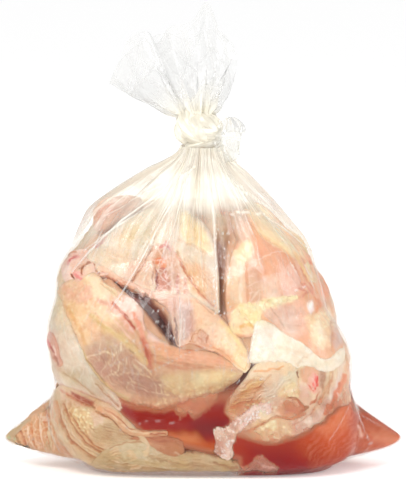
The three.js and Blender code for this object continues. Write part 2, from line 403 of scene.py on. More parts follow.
def dabs(code, outline, cell, size, strength=0.5, seed=1):
    """Small spots of a colour."""
    return spots(outline, cell, size, seed), code, strength


def bumps(depth, outline, cell, size, seed=1):
    """Small bumps, so many millimetres high."""
    return spots(outline, cell, size, seed), -depth


# %% Colours of the screen
def colour(code):
    """A colour of the screen, such as e8cfae, as the linear light that shaders work in."""
    value = np.array([int(code[i:i + 2], 16) for i in (0, 2, 4)]) / 255
    return np.where(value <= 0.04045, value / 12.92, ((value + 0.055) / 1.055) ** 2.4)


# %% From a ball to a piece
def ball(sides, rings):
    """A unit ball as a bmesh, and each vertex's angle round it and share of the way from its front pole."""
    bm = bmesh.new()
    bmesh.ops.create_uvsphere(bm, u_segments=sides, v_segments=rings, radius=1)
    co = np.array([v.co for v in bm.verts])
    return bm, np.arctan2(co[:, 1], co[:, 0]), np.arccos(np.clip(co[:, 2], -1, 1)) / math.pi


def finish_piece(name, bm, places, material, slot, tint=None, extra=None, flow=None):
    """Turns a bmesh into a named piece that rides on the bag. flow: each vertex's place in its UV map."""
    for v, p in zip(bm.verts, places):
        v.co = p
    if flow is not None:
        layer = bm.loops.layers.uv.new("flow")
        for face in bm.faces:
            for corner in face.loops:
                corner[layer].uv = flow[corner.vert.index]
    mesh = bpy.data.meshes.new(name)
    bm.to_mesh(mesh)
    bm.free()
    mesh.shade_smooth()
    if tint is not None:
        layer = mesh.attributes.new("tint", "FLOAT_COLOR", "POINT")
        layer.data.foreach_set("color", np.concatenate([tint, np.ones((len(tint), 1))], 1).ravel())
    for key, values in (extra or {}).items():
        layer = mesh.attributes.new(key, "FLOAT", "POINT")
        layer.data.foreach_set("value", np.asarray(values, float).ravel())
    piece = bpy.data.objects.new(name, mesh)
    bpy.context.scene.collection.objects.link(piece)
    mesh.materials.append(material)
    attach(piece, "root")
    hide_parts("bag")
    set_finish(piece, slot)
    print(f"{name}: {sum(len(p.vertices) - 2 for p in mesh.polygons)} triangles")
    return piece


# %% Paint and folds
COOLER = [0.955, 1.0, 1.03]  # light bounced between the pieces comes out warmer than their paint
VEIL = 0.02  # the film lays this much white over every colour, so it is taken off the paint


def paint(px, py, ground, marks, veil=VEIL):
    """Lays marks of colour over a ground colour: each is (mark, colour, strength)."""
    pixel = np.stack([px, py], 1)
    px = px + 1.0 * ripple(pixel, 12, 31) + 0.5 * ripple(pixel, 4.5, 32)  # tissue has no straight edges
    py = py + 1.0 * ripple(pixel, 12, 33) + 0.5 * ripple(pixel, 4.5, 34)
    tint = np.tile(colour(ground), (len(px), 1))
    for mark, code, strength in marks:
        weight = (mark(px, py) * strength)[:, None]
        tint = tint * (1 - weight) + colour(code) * weight
    blush = ripple(pixel, 9, 35)[:, None] * [0.0, 0.025, 0.04]
    return np.maximum((tint * (1 + blush) * COOLER - veil) / (1 - veil), 0.002)


def dig(px, py, grooves):
    """How deep the grooves go at each pixel: each is (mark, millimetres)."""
    return sum((mark(px, py) * depth * 0.001 for mark, depth in grooves), np.zeros(len(px)))


# %% How a piece rounds away from the film
GAP = 0.0011  # the film stands this far off the meat
PRESS = 0.0013  # each piece runs this far into its neighbours, so that they meet in a valley
CREASE_SHADE = np.array([0.93, 0.79, 0.69])  # light that has bounced in a deep crease is this colour
CREASE_DEPTH = 0.0012  # a crease this deep has that tint once


def shaded(tint, dug):
    """A painted colour with painted shade: warmer and darker where grooves go in, and painted light on
    ridges.
    """
    return tint * CREASE_SHADE ** np.clip(dug / CREASE_DEPTH, -0.5, 2)[:, None]


def rounded(round_, from_rim):
    """How far in a rim of the given roundness lies, so far from its edge."""
    return round_ - np.sqrt(np.maximum(round_ ** 2 - (round_ - from_rim) ** 2, 0))


def roughened(deep, flat, rough, sizes, seed):
    """Depths with two sizes of soft unevenness, of so many millimetres."""
    deep = deep + rough * 0.001 * (1 + ripple(flat, sizes[0], seed)) * 0.5
    return deep + rough * 0.0004 * (1 + ripple(flat, sizes[1], seed + 9))


# %% Pressed lumps
FRONT = 0.84  # the share of a ball, from pole to pole, that is laid against the film


def lump(name, middle, outline, tissue, ground, marks=(), grooves=(), thick=30, proud=0.0,
         azimuth=0, size=(200, 80), rough=0.6, seed=1):
    """A pressed piece. Its outline is a list of (pixel x, pixel y, roundness of the rim in mm)."""
    rim = drawn(outline, 400, azimuth, closed=True)
    turn0, height0 = spot(*middle, azimuth)
    scale = float(read_table(radius_table, turn0, height0))
    du, dv = (rim[:, 0] - turn0) * scale, rim[:, 1] - height0
    order = np.argsort(np.arctan2(dv, du))
    angles = np.arctan2(dv, du)[order]
    bm, turn, share = ball(*size)
    reach = np.interp(turn, angles, np.hypot(du, dv)[order], period=2 * math.pi) + PRESS
    rounds = np.interp(turn, angles, rim[order, 2] * 0.001, period=2 * math.pi)
    round_ = np.minimum(rounds, reach * 0.9)
    behind = (share - FRONT) / (1 - FRONT)  # above 0 on the half that closes the piece inside the bag
    closing = np.maximum(np.cos(behind * math.pi / 2), 0) ** 0.8
    out = np.where(behind < 0, (share / FRONT) ** 0.9, closing)
    edge = rounded(round_, np.minimum((1 - out) * reach, round_))
    back = smooth(behind)
    deep = np.where(behind < 0, edge, round_ + (thick * 0.001 - round_) * back)
    u, v = turn0 + out * reach * np.cos(turn) / scale, height0 + out * reach * np.sin(turn)
    v = np.maximum(v, LOWEST)
    px, py = pixels(on_bag(u, v, 0.001), azimuth)
    flat = on_bag(u, v)
    dug = (1 - back) * dig(px, py, grooves)
    deep = roughened(deep + GAP - proud * 0.001 + dug, flat, rough, (0.03, 0.009), seed)
    place = on_bag(u, v, np.maximum(deep, GAP * 0.4))
    tint = shaded(paint(px, py, ground, marks), dug)
    # Painted shade: the side that faces into the bag is made darker, as little light reaches it there.
    tint = tint * (1 - 0.45 * back)[:, None]  # darker on the side that faces into the bag
    return finish_piece(name, bm, place, tissue, tissue["slot"], tint)


# %% Pressed bands
def band(name, upper, lower, tissue, ground, marks=(), grooves=(), thick=14, roundness=(5, 5), proud=0.0,
         azimuth=0, size=(64, 160), rough=0.4, ragged=(0, 0), seed=1):
    """A pressed piece between two drawn edges, each with its roundness and raggedness in mm."""
    count = 200
    top, bottom = drawn(upper, count, azimuth), drawn(lower, count, azimuth)
    along = np.arange(float(count))[:, None]
    for edge, depth, seed_here in ((top, ragged[0], seed), (bottom, ragged[1], seed + 50)):
        waves = ripple(along, 14, seed_here) + 0.6 * ripple(along, 5, seed_here + 1)
        edge[:, 1] += depth * 0.001 * waves
    bm, turn, share = ball(*size)
    s = share * (count - 1)
    i = np.minimum(np.floor(s).astype(int), count - 2)
    f = (s - i)[:, None]
    high, low = top[i] * (1 - f) + top[i + 1] * f, bottom[i] * (1 - f) + bottom[i + 1] * f
    scale = float(radius_table[:, 60].mean())  # the bag's mean radius at 85 mm
    half = np.hypot((high[:, 0] - low[:, 0]) * scale, high[:, 1] - low[:, 1]) / 2
    length = np.linalg.norm(np.diff((top + bottom) / 2 * [scale, 1], axis=0), axis=1).sum()
    across, behind = np.cos(turn), np.sin(turn) < 0
    across = np.sign(across) * np.abs(across) ** 0.75
    mix = ((1 - across * (1 + PRESS / np.maximum(half, 0.002))) / 2)[:, None]
    place = high * (1 - mix) + low * mix
    round_ = np.minimum(np.where(across > 0, *roundness) * 0.001, half)
    from_end = np.minimum(share, 1 - share) * length
    edge = rounded(round_, np.minimum(np.minimum((1 - np.abs(across)) * half, from_end), round_))
    body = np.minimum(1, from_end / (thick * 0.001))
    deep = np.where(behind, round_ + (thick * 0.001 - round_) * -np.sin(turn) * body, edge)
    u, v = place[:, 0], np.maximum(place[:, 1], LOWEST)
    flat = on_bag(u, v)
    px, py = pixels(flat, azimuth)
    dug = np.where(behind, 0, dig(px, py, grooves))
    deep = roughened(deep + GAP - proud * 0.001 + dug, flat, rough, (0.02, 0.007), seed)
    place = on_bag(u, v, np.maximum(deep, GAP * 0.4))
    tint = shaded(paint(px, py, ground, marks), dug)
    return finish_piece(name, bm, place, tissue, tissue["slot"], tint)


# %% [markdown]
# ## Tissues
# Raw chicken is wet and lets light in. Each tissue is one Principled shader: its painted tint,
# varied by noise, some light scattered under the surface, and a thin wet coat. The tint is kept on
# the mesh's own points, where drawn marks put it. An image texture would need an unwrapped mesh and
# a picture file, and these meshes are fine enough to do without.

# %% Materials and their sockets
WHITE = (1, 1, 1, 1)


def new_material(name):
    """A material, its node tree and its Principled shader."""
    material = bpy.data.materials.new(name)
    material.use_nodes = True
    return material, material.node_tree, material.node_tree.nodes["Principled BSDF"]


def settle(node, values):
    """Sets a node's own values."""
    for socket, value in values.items():
        node.inputs[socket].default_value = value


def feed(tree, socket, value):
    """Links another node's output to a socket, or sets the socket to a number or a colour."""
    if hasattr(value, "is_linked"):
        tree.links.new(value, socket)
    else:
        socket.default_value = value


def attribute(tree, name, output="Fac"):
    """What the mesh carries at each point under this name."""
    node = tree.nodes.new("ShaderNodeAttribute")
    node.attribute_name = name
    return node.outputs[output]


# %% Mixing colours and shaders
def mixed(tree, a, b, factor, how="MIX"):
    """Two colours laid over each other."""
    node = tree.nodes.new("ShaderNodeMix")
    node.data_type, node.blend_type = "RGBA", how
    for socket, value in ((0, factor), (6, a), (7, b)):
        feed(tree, node.inputs[socket], value)
    return node.outputs[2]


def blended(tree, share, first, second):
    """Two shaders in one, with so much of the second."""
    node = tree.nodes.new("ShaderNodeMixShader")
    for socket, value in enumerate((share, first, second)):
        feed(tree, node.inputs[socket], value)
    return node.outputs[0]


def scaled(tree, value, low, high, to_low, to_high):
    """A value between low and high, moved to between two others."""
    node = tree.nodes.new("ShaderNodeMapRange")
    for socket, number in enumerate((value, low, high, to_low, to_high)):
        feed(tree, node.inputs[socket], number)
    return node.outputs[0]


# %% Noise and relief
def noisy(tree, scale, detail=4, distortion=0.0, kind="NOISE", seed=0.0):
    """Noise or cells in the piece's own space, so many to a metre."""
    place = tree.nodes.new("ShaderNodeTexCoord").outputs["Object"]
    node = tree.nodes.new("ShaderNodeTexNoise" if kind == "NOISE" else "ShaderNodeTexVoronoi")
    node.inputs["Scale"].default_value = scale
    if kind == "NOISE":
        node.noise_dimensions = "4D"
        settle(node, {"W": seed, "Detail": detail, "Distortion": distortion})
    tree.links.new(place, node.inputs["Vector"])
    return node.outputs[0]


def reckoned(tree, how, *values):
    """What a Math node makes of some values."""
    node = tree.nodes.new("ShaderNodeMath")
    node.operation = how
    for socket, value in zip(node.inputs, values):
        feed(tree, socket, value)
    return node


def product(tree, a, b):
    """One value times another."""
    return reckoned(tree, "MULTIPLY", a, b).outputs[0]


def total(tree, a, b):
    """One value and another together."""
    return reckoned(tree, "ADD", a, b).outputs[0]


def bumped(tree, height, depth, strength=1.0, after=None):
    """Relief so many metres deep, laid over the relief that comes before it."""
    node = tree.nodes.new("ShaderNodeBump")
    settle(node, {"Strength": strength, "Distance": depth})
    tree.links.new(height, node.inputs["Height"])
    if after:
        tree.links.new(after, node.inputs["Normal"])
    return node.outputs[0]


# %% Tissue materials
HUES = (  # (scale, seed, where it sets in, colour) of three slow changes of hue
    (34, 2, 0.5, (0.97, 0.95, 0.84, 1)),
    (46, 5, 0.52, (0.93, 0.87, 0.86, 1)),
    (130, 8, 0.5, (0.93, 0.93, 0.92, 1)),
)


def tissue(name, slot, dark, mottle, grain, grain_depth, gloss, scatter, kind="NOISE"):
    """A wet tissue. dark tints its mottling, and grain is the scale of its fine relief."""
    material, tree, shader = new_material(name)
    cloud = scaled(tree, noisy(tree, mottle, 5, 0.6), 0.35, 0.65, 0, 1)
    shade = mixed(tree, dark, WHITE, cloud)
    speck = scaled(tree, noisy(tree, mottle * 5, 4, 0.4), 0.38, 0.7, 0, 1)
    shade = mixed(tree, shade, mixed(tree, WHITE, dark, speck), 0.6, "MULTIPLY")
    for scale, seed, low, hue in HUES:
        cloud = scaled(tree, noisy(tree, scale, 5, 0.8, seed=seed), low, low + 0.14, 0, 1)
        shade = mixed(tree, shade, mixed(tree, WHITE, hue, cloud), 1.0, "MULTIPLY")
    base = mixed(tree, attribute(tree, "tint", "Color"), shade, 1.0, "MULTIPLY")
    tree.links.new(base, shader.inputs["Base Color"])
    fine = noisy(tree, grain, 3, 0.3, kind)
    coarse = noisy(tree, mottle * 2.2, 3)
    normal = bumped(tree, fine, grain_depth, 0.8, bumped(tree, coarse, 0.0012, 0.5))
    tree.links.new(normal, shader.inputs["Normal"])
    tree.links.new(scaled(tree, fine, 0.2, 0.8, *gloss), shader.inputs["Roughness"])
    settle(shader, {"Subsurface Weight": scatter, "Subsurface Radius": (1.0, 0.6, 0.42),
                    "Subsurface Scale": 0.004, "Specular IOR Level": 0.2, "Coat Weight": 0.1,
                    "Coat Roughness": 0.12})
    material["slot"] = slot
    return material


skin = tissue("chicken skin", "skin", dark=(0.93, 0.87, 0.80, 1), mottle=60, grain=900, grain_depth=0.0004,
              gloss=(0.35, 0.55), scatter=0.25, kind="VORONOI")
goose_skin = tissue("goosebumped skin", "skin", dark=(0.93, 0.84, 0.80, 1), mottle=240, grain=620,
                    grain_depth=0.0009, gloss=(0.3, 0.5), scatter=0.25, kind="VORONOI")
meat = tissue("raw meat", "meat", dark=(0.95, 0.85, 0.82, 1), mottle=70, grain=400, grain_depth=0.0003,
              gloss=(0.28, 0.45), scatter=0.35)
fat = tissue("yellow fat", "fat", dark=(0.96, 0.90, 0.80, 1), mottle=120, grain=260, grain_depth=0.0006,
             gloss=(0.32, 0.5), scatter=0.3)
bone = tissue("bone and gristle", "bone", dark=(0.93, 0.80, 0.78, 1), mottle=150, grain=500,
              grain_depth=0.0004, gloss=(0.25, 0.4), scatter=0.3)
print("tissues:", [m.name for m in (skin, goose_skin, meat, fat, bone)])

# %% [markdown]
# ## The breast that lies open at the front
# One whole breast lies at the lower left with its cut side up, so a long slit opens into its
# cavity. The near half is a plump cushion of pale meat with a rim of yellow fat. Each piece below
# lists its colours, from broad washes to fine lines as a painter lays them, then its folds. Its
# edges or its outline come last, in the call that presses it into shape.

# %% What shows in the gaps
gap_hollows = [
    groove(9, [(224, 232, 9), (221, 250, 8), (220, 280, 6), (223, 312, 6)]),
    groove(14, [(112, 276, 4), (140, 296, 8), (160, 320, 9), (176, 344, 6)]),
    (patch([(236, 374), (252, 366), (246, 392), (226, 430), (200, 434), (126, 428), (122, 408), (200, 408)],
           5), 13),
    (patch([(236, 442), (300, 438), (330, 412), (352, 398), (372, 420), (340, 478), (238, 478)], 8), 16),
]
gap_colours_and_shade = [
    # The wide and narrow strokes down the gap, and the dark one along the cavity's slit, are partly the
    # meat's colour and partly painted shade, deep where little light gets in.
    stroke("cfa283", [(228, 226, 12), (222, 245, 11), (220, 280, 9), (224, 322, 8)], soft=0.6, strength=1),
    stroke("b07c62", [(220, 240, 4), (219, 270, 4), (219, 304, 4)], soft=0.9),
    wash("e9cba2", [(208, 203), (226, 200), (230, 220), (226, 234), (212, 236), (208, 218)], 5),
    stroke("e88a5c", [(212, 200, 3), (218, 208, 3)]),
    stroke("e57f52", [(222, 194, 4), (229, 210, 4)]),
    stroke("ea9c72", [(230, 200, 3), (240, 214, 4)]),
    stroke("8a4f44", [(104, 270, 4), (140, 292, 8), (160, 318, 10), (178, 344, 8)], soft=0.7, strength=1),
    wash("a8482f", [(236, 374), (252, 366), (246, 392), (226, 430), (126, 428), (122, 408), (200, 408)], 8),
]


MEAT_FOOT, MEAT_HEIGHT = 0.003, 0.210


def middle_meat():
    """The meat in the middle of the bag, which shows only between the pieces."""
    bm, turn, share = ball(350, 150)
    height = MEAT_FOOT + MEAT_HEIGHT * (0.5 + 0.5 * np.cos(share * math.pi))
    flat = on_bag(turn, height)
    px, py = pixels(flat)
    front = smooth(-flat[:, 1], -0.01, 0.01)
    deep = 0.0046 + 0.0005 * ripple(flat, 0.022, 4) + 0.003 * smooth(height, 0.18, 0.2)
    place = on_bag(turn, height, deep + front * dig(px, py, gap_hollows))
    place[:, :2] *= (np.sin(share * math.pi) ** 0.25)[:, None]
    return finish_piece("meat_in_the_middle", bm, place, meat, "meat", paint(px, py, "e3bb9a", gap_colours_and_shade))


middle_meat()

# %% The near half of the open breast
near_top_skin = [(56, 284), (84, 276), (104, 300), (100, 330), (84, 344), (66, 322)]
near_muscle = [(92, 352), (120, 344), (150, 372), (180, 392), (150, 398), (112, 388)]
open_breast_colours = [
    wash("f0cda8", [(54, 290), (80, 272), (110, 286), (130, 310), (100, 335), (80, 345), (60, 312)], 6),
    wash("efc4aa", [(60, 284), (82, 280), (91, 286), (92, 296), (84, 302), (68, 301), (60, 294)], 3),
    wash("f7e4c4", [(84, 275), (93, 273), (106, 284), (112, 292), (104, 303), (92, 300), (90, 286)], 3),
    wash("eee2c2", [(102, 281), (118, 286), (126, 292), (118, 298), (108, 290)], 2, 0.8),
    wash("edcaa2", [(58, 302), (74, 303), (88, 322), (92, 344), (80, 345), (66, 322)], 4),
    stroke("e6ba86", [(66, 306, 3), (76, 322, 4), (84, 344, 3)]),
    wash("f3d9b6", [(88, 304), (104, 304), (112, 318), (104, 328), (92, 322)], 4),
    wash("efcdbc", [(116, 288), (130, 293), (142, 302), (145, 314), (138, 324), (124, 314), (112, 302)], 3),
    stroke("fbe6d8", [(131, 296, 2.5), (141, 304, 3), (144, 313, 2.5)]),
    stroke("e3b199", [(98, 300, 4), (110, 304, 5), (120, 316, 5), (132, 330, 5)]),
    stroke("cf8068", [(112, 303, 2.5), (122, 312, 3), (134, 328, 3)]),
    stroke("b95f50", [(124, 314, 1.6), (135, 328, 1.8)]),
    stroke("efc9b4", [(106, 309, 1.5), (118, 324, 1.5), (130, 338, 1.5)], strength=0.7),
    stroke("e6a184", [(134, 312, 3), (139, 326, 4), (146, 344, 5)]),
    stroke("f6d3c2", [(142, 318, 2), (145, 330, 2.2)], strength=0.8),
    stroke("ce7d60", [(143, 340, 4), (149, 356, 6), (151, 374, 5)]),
    stroke("c4694f", [(146, 350, 2.5), (149, 366, 3)], strength=0.7),
    wash("f9dccd", [(147, 320), (154, 333), (168, 342), (176, 347), (160, 349), (149, 338)], 3),
    wash("f0bb98", [(150, 341), (172, 346), (196, 351), (222, 358), (236, 367), (214, 366), (178, 362),
                    (156, 354)], 4),
    stroke("ea9d74", [(180, 349, 2), (194, 350, 2)]),
    stroke("cf9470", [(154, 362, 4), (174, 368, 4), (200, 369, 4)], soft=1, strength=0.8),
    wash("cda68a", [(86, 346), (112, 338), (134, 352), (150, 368), (170, 378), (180, 394), (150, 398),
                    (118, 390), (98, 380), (88, 364)], 5, 0.95),
    wash("bc9079", [(110, 374), (134, 372), (160, 380), (182, 388), (178, 398), (150, 397), (122, 388)], 5),
    wash("c69b84", [(93, 362), (104, 356), (116, 360), (116, 372), (104, 378), (96, 372)], 2, 0.7),
    wash("d3b498", [(100, 332), (122, 338), (132, 350), (118, 352), (100, 344)], 4, 0.8),
    stroke("e0c590", [(90, 314, 4), (104, 328, 6), (120, 337, 6), (134, 350, 6), (145, 362, 5)], soft=0.7),
    stroke("d4b67c", [(96, 322, 1.6), (114, 334, 2), (132, 346, 1.6)], strength=0.6),
    stroke("dcc596", [(80, 350, 4), (87, 368, 4.5), (98, 383, 5), (112, 394, 5), (128, 400, 4)], soft=0.6),
    wash("dabf92", [(158, 378), (186, 372), (212, 370), (238, 373), (230, 386), (210, 394), (184, 398),
                    (166, 392)], 4),
    wash("e9cb9a", [(200, 374), (222, 370), (238, 374), (226, 382), (206, 382)], 3),
    stroke("cfab7e", [(186, 392, 3), (210, 388, 3), (226, 384, 2)], strength=0.8),
    stroke("c9805f", [(118, 401, 4), (136, 408, 6), (160, 411, 7), (186, 405, 6), (206, 398, 4)], soft=0.9),
    stroke("b0583f", [(126, 408, 2.5), (150, 414, 3), (172, 412, 2.5)], soft=1),
    stroke("f0e0c0", [(86, 358, 1), (94, 355, 1), (104, 352, 1.2), (114, 356, 1), (120, 350, 1.2),
                      (121, 344, 1)]),
    stroke("ead6b4", [(114, 357, 0.8), (120, 364, 1), (117, 372, 0.8), (108, 377, 0.8)]),
    stroke("ecd9bb", [(134, 360, 0.9), (143, 366, 1.2), (152, 375, 1)]),
    stroke("e0c4a4", [(112, 376, 0.8), (130, 373, 0.9), (150, 378, 0.9), (172, 384, 0.8)], strength=0.7),
    stroke("e2c8ac", [(126, 384, 0.8), (150, 392, 0.9), (170, 396, 0.8)], strength=0.6),
    stroke("8f6a4c", [(129, 350, 1.2), (134, 354, 1)], strength=0.8),
    stroke("b08a62", [(84, 360, 0.8), (93, 370, 0.9), (103, 383, 0.9)]),
    stroke("a07858", [(96, 388, 0.8), (107, 398, 0.8), (118, 406, 0.8)], strength=0.7),
    web("e9d8b6", [(86, 350), (100, 340), (124, 346), (140, 360), (160, 376), (178, 388), (160, 398),
                   (124, 392), (100, 378), (88, 364)], 12, 0.5, 0.55, 3),
    web("f8e4da", [(104, 296), (128, 292), (144, 306), (142, 334), (130, 332), (112, 314)], 8, 0.5, 0.5, 5),
    dabs("f8e6c0", near_top_skin, 5, 1.8, 0.3, 2),
    dabs("dcae7e", [(56, 288), (80, 280), (98, 304), (96, 332), (80, 344), (64, 322)], 7, 1.6, 0.5, 8),
    dabs("f6eccb", [(100, 280), (120, 286), (128, 294), (118, 300), (106, 292)], 3.5, 1.3, 0.4, 4),
    dabs("f2dca8", [(160, 384), (200, 376), (238, 374), (232, 386), (200, 398), (160, 404)], 4.5, 1.5, 0.5,
         6),
    dabs("c98e62", [(124, 398), (160, 404), (200, 396), (236, 380), (234, 388), (200, 404), (160, 414),
                    (126, 408)], 5, 1.4, 0.5, 7),
    fibres("a97c66", near_muscle, (380, 60), 3.4, 0.4),
    fibres("f4c6a4", [(150, 342), (180, 350), (230, 362), (236, 370), (180, 370), (154, 362)], (160, 700),
           3, 0.5),
]
open_breast_folds = [
    groove(0.9, [(112, 302, 2), (126, 316, 2.5), (140, 336, 3), (148, 358, 3)]),
    groove(0.6, [(96, 316, 2), (118, 332, 2), (136, 346, 2), (146, 362, 2)]),
    groove(0.6, [(84, 358, 1.5), (94, 371, 2), (104, 385, 1.5)]),
    groove(0.7, [(100, 282, 2), (112, 290, 2), (122, 300, 2)]),
    groove(0.8, [(152, 356, 3), (180, 364, 3), (212, 368, 3)]),
    groove(-0.8, [(196, 378, 8), (222, 376, 8)]),
    bumps(0.25, near_top_skin, 5, 2.2, 2),
    bumps(0.6, [(124, 396), (160, 400), (200, 392), (238, 374), (236, 386), (200, 404), (160, 414),
                (126, 408)], 5, 2.2, 9),
    pleats(0.35, [(150, 342), (180, 350), (230, 362), (236, 370), (180, 374), (154, 366)], (160, 700), 4),
    pleats(0.3, near_muscle, (380, 60), 5),
]
band(
    "open_breast_near_half",
    upper=[(55, 292), (58, 284), (66, 279), (78, 279), (85, 273), (93, 272), (103, 283), (113, 287),
           (123, 294), (132, 299), (139, 306), (143, 314), (144, 324), (152, 335), (163, 342), (175, 349),
           (188, 352), (206, 353), (222, 358), (235, 366), (243, 373)],
    lower=[(55, 292), (58, 306), (65, 322), (72, 336), (78, 350), (84, 365), (95, 380), (106, 391),
           (118, 401), (130, 409), (146, 413), (163, 414), (178, 410), (192, 403), (206, 399), (220, 394),
           (230, 386), (238, 379), (243, 373)],
    tissue=meat, ground="dcb795", marks=open_breast_colours, grooves=open_breast_folds, size=(260, 300),
    roundness=(3.5, 9), thick=30, rough=0.8, ragged=(0.3, 0.7),
)

# %% The cavity
cavity_colours_and_shade = [
    stroke("a0675c", [(98, 272, 5), (112, 279, 6), (126, 288, 7), (136, 294, 6)], strength=1),
    # The darkest marks down the slit are partly dark meat and partly painted shade, where the cavity runs
    # deep.
    stroke("7c4a42", [(104, 277, 1.6), (118, 286, 2), (132, 296, 2)]),
    wash("857472", [(138, 294), (156, 302), (158, 332), (144, 320)], 3, 1),
    wash("4f2723", [(158, 306), (168, 316), (174, 342), (158, 334)], 2, 0.95),
    stroke("a58380", [(170, 318, 3), (172, 334, 3), (176, 346, 3)], strength=0.9),
    stroke("c4a39b", [(169, 322, 1), (170, 340, 1)], strength=0.9),
    stroke("3c2a28", [(142, 316, 2), (144, 319, 2)]),
    dabs("d8cfcf", [(142, 300), (156, 304), (160, 326), (150, 322)], 6, 0.9, 0.9, 3),
    web("c2a8a6", [(164, 314), (178, 316), (182, 348), (168, 340)], 6, 0.6, 0.8, 2),
]
band(
    "cavity_of_the_open_breast",
    upper=[(94, 264), (108, 270), (124, 278), (142, 290), (160, 302), (174, 316), (182, 332), (186, 350)],
    lower=[(94, 268), (106, 282), (122, 294), (138, 308), (144, 326), (158, 340), (172, 348), (186, 350)],
    tissue=meat, ground="8d7069", marks=cavity_colours_and_shade, size=(100, 140), proud=-12, thick=26, rough=1.5,
)

# %% The far half of the open breast
far_half_colours = [
    wash("f3d6c2", [(118, 272), (140, 282), (168, 292), (178, 312), (164, 306), (140, 292)], 3),
    wash("e9c6b2", [(148, 292), (176, 294), (192, 306), (196, 330), (180, 342), (172, 320), (162, 308)], 4),
    wash("dcbcae", [(176, 306), (192, 308), (194, 330), (184, 342), (177, 326)], 4),
    stroke("d99a84", [(100, 272, 2), (114, 279, 2.4), (130, 288, 2.6), (148, 297, 3), (160, 306, 3),
                      (167, 317, 2.6)]),
    stroke("b6695a", [(108, 277, 1.3), (124, 286, 1.5), (142, 295, 1.5), (158, 305, 1.5), (168, 320, 1.3)]),
    stroke("a0766c", [(175, 318, 2), (176, 330, 2.4), (178, 344, 2)], strength=0.9),
    stroke("f4e2da", [(180, 300, 1), (181, 322, 1.2), (181, 344, 1)], strength=0.7),
    stroke("f2ddd2", [(172, 298, 1), (172, 312, 1)], strength=0.7),
    wash("fbdcb8", [(192, 298), (206, 304), (224, 322), (244, 346), (249, 364), (234, 362), (212, 346),
                    (196, 330)], 4),
    wash("ffecd0", [(206, 318), (222, 324), (238, 344), (242, 358), (226, 352), (208, 340)], 5),
    stroke("ffe7b6", [(222, 322, 2.5), (236, 338, 3), (245, 352, 3.5)]),
    wash("ecc8aa", [(192, 333), (200, 330), (207, 335), (208, 343), (200, 348), (192, 344)], 1.5),
    stroke("d39c7a", [(190, 342, 0.9), (194, 334, 0.9), (201, 330, 0.9), (208, 336, 0.9), (207, 344, 0.9)]),
    stroke("e0a482", [(199, 338, 2), (202, 340, 2)]),
    stroke("e89e70", [(180, 348, 1.6), (190, 345, 2), (203, 349, 1.6)]),
    wash("f5c29a", [(206, 346), (216, 344), (232, 356), (238, 366), (226, 360)], 3),
    wash("fde9bf", [(232, 346), (244, 350), (249, 364), (245, 374), (236, 368)], 2),
    stroke("d98a62", [(230, 366, 1.5), (234, 368, 1.5)]),
    stroke("e7c58e", [(238, 366, 1.2), (244, 370, 1.2), (247, 364, 1.2)], strength=0.8),
    stroke("d9a88c", [(196, 300, 1), (206, 308, 1), (214, 314, 1)], strength=0.7),
    dabs("fff3d0", [(190, 300), (244, 346), (249, 366), (234, 362), (196, 330)], 5, 1.6, 0.5, 2),
    dabs("f0c89a", [(200, 304), (240, 344), (246, 362), (220, 350), (198, 326)], 7, 1.6, 0.45, 5),
    web("f9e8df", [(168, 294), (192, 296), (194, 344), (178, 344), (170, 316)], 8, 0.5, 0.6, 3),
    fibres("e2ab92", [(118, 274), (168, 292), (176, 314), (150, 298), (120, 284)], (160, 80), 3, 0.5),
]
far_half_folds = [
    groove(0.8, [(174, 298, 2), (175, 320, 2.4), (178, 344, 2)]),
    groove(0.5, [(186, 300, 1.6), (192, 320, 2), (192, 342, 2)]),
    groove(0.6, [(192, 343, 1.5), (194, 333, 1.5), (201, 330, 1.5), (209, 337, 1.5)]),
    groove(0.6, [(206, 346, 2), (222, 352, 2), (236, 364, 2)]),
    bumps(0.45, [(190, 328), (208, 330), (210, 346), (192, 346)], 4, 2, 4),
    bumps(0.35, [(200, 304), (240, 344), (246, 366), (220, 350), (198, 326)], 6, 2.6, 5),
    pleats(0.35, [(116, 272), (168, 290), (178, 314), (150, 300), (120, 286)], (160, 80), 3.6),
]
band(
    "open_breast_far_half",
    upper=[(92, 262), (102, 263), (112, 269), (124, 276), (137, 284), (152, 289), (168, 292), (184, 293),
           (198, 298), (210, 307), (220, 318), (229, 328), (237, 336), (243, 345), (248, 356), (249, 366),
           (246, 373)],
    lower=[(93, 268), (99, 271), (108, 274), (118, 279), (129, 284), (140, 289), (152, 295), (163, 303),
           (170, 313), (173, 325), (176, 338), (181, 347), (192, 344), (204, 349), (217, 353), (230, 362),
           (238, 371), (246, 373)],
    tissue=meat, ground="f0cdb2", marks=far_half_colours, grooves=far_half_folds, size=(140, 300),
    roundness=(4, 4), rough=0.6, thick=14, ragged=(0.3, 0.5),
)

# %% [markdown]
# ## The breasts above
# One breast lies across the upper left and one stands on end at the right, with a deep dark gap
# between them where neither touches the film. A fold of yellow fat crosses the standing one. It is
# a piece of its own, because paint alone would leave it flat where the light rakes over it.

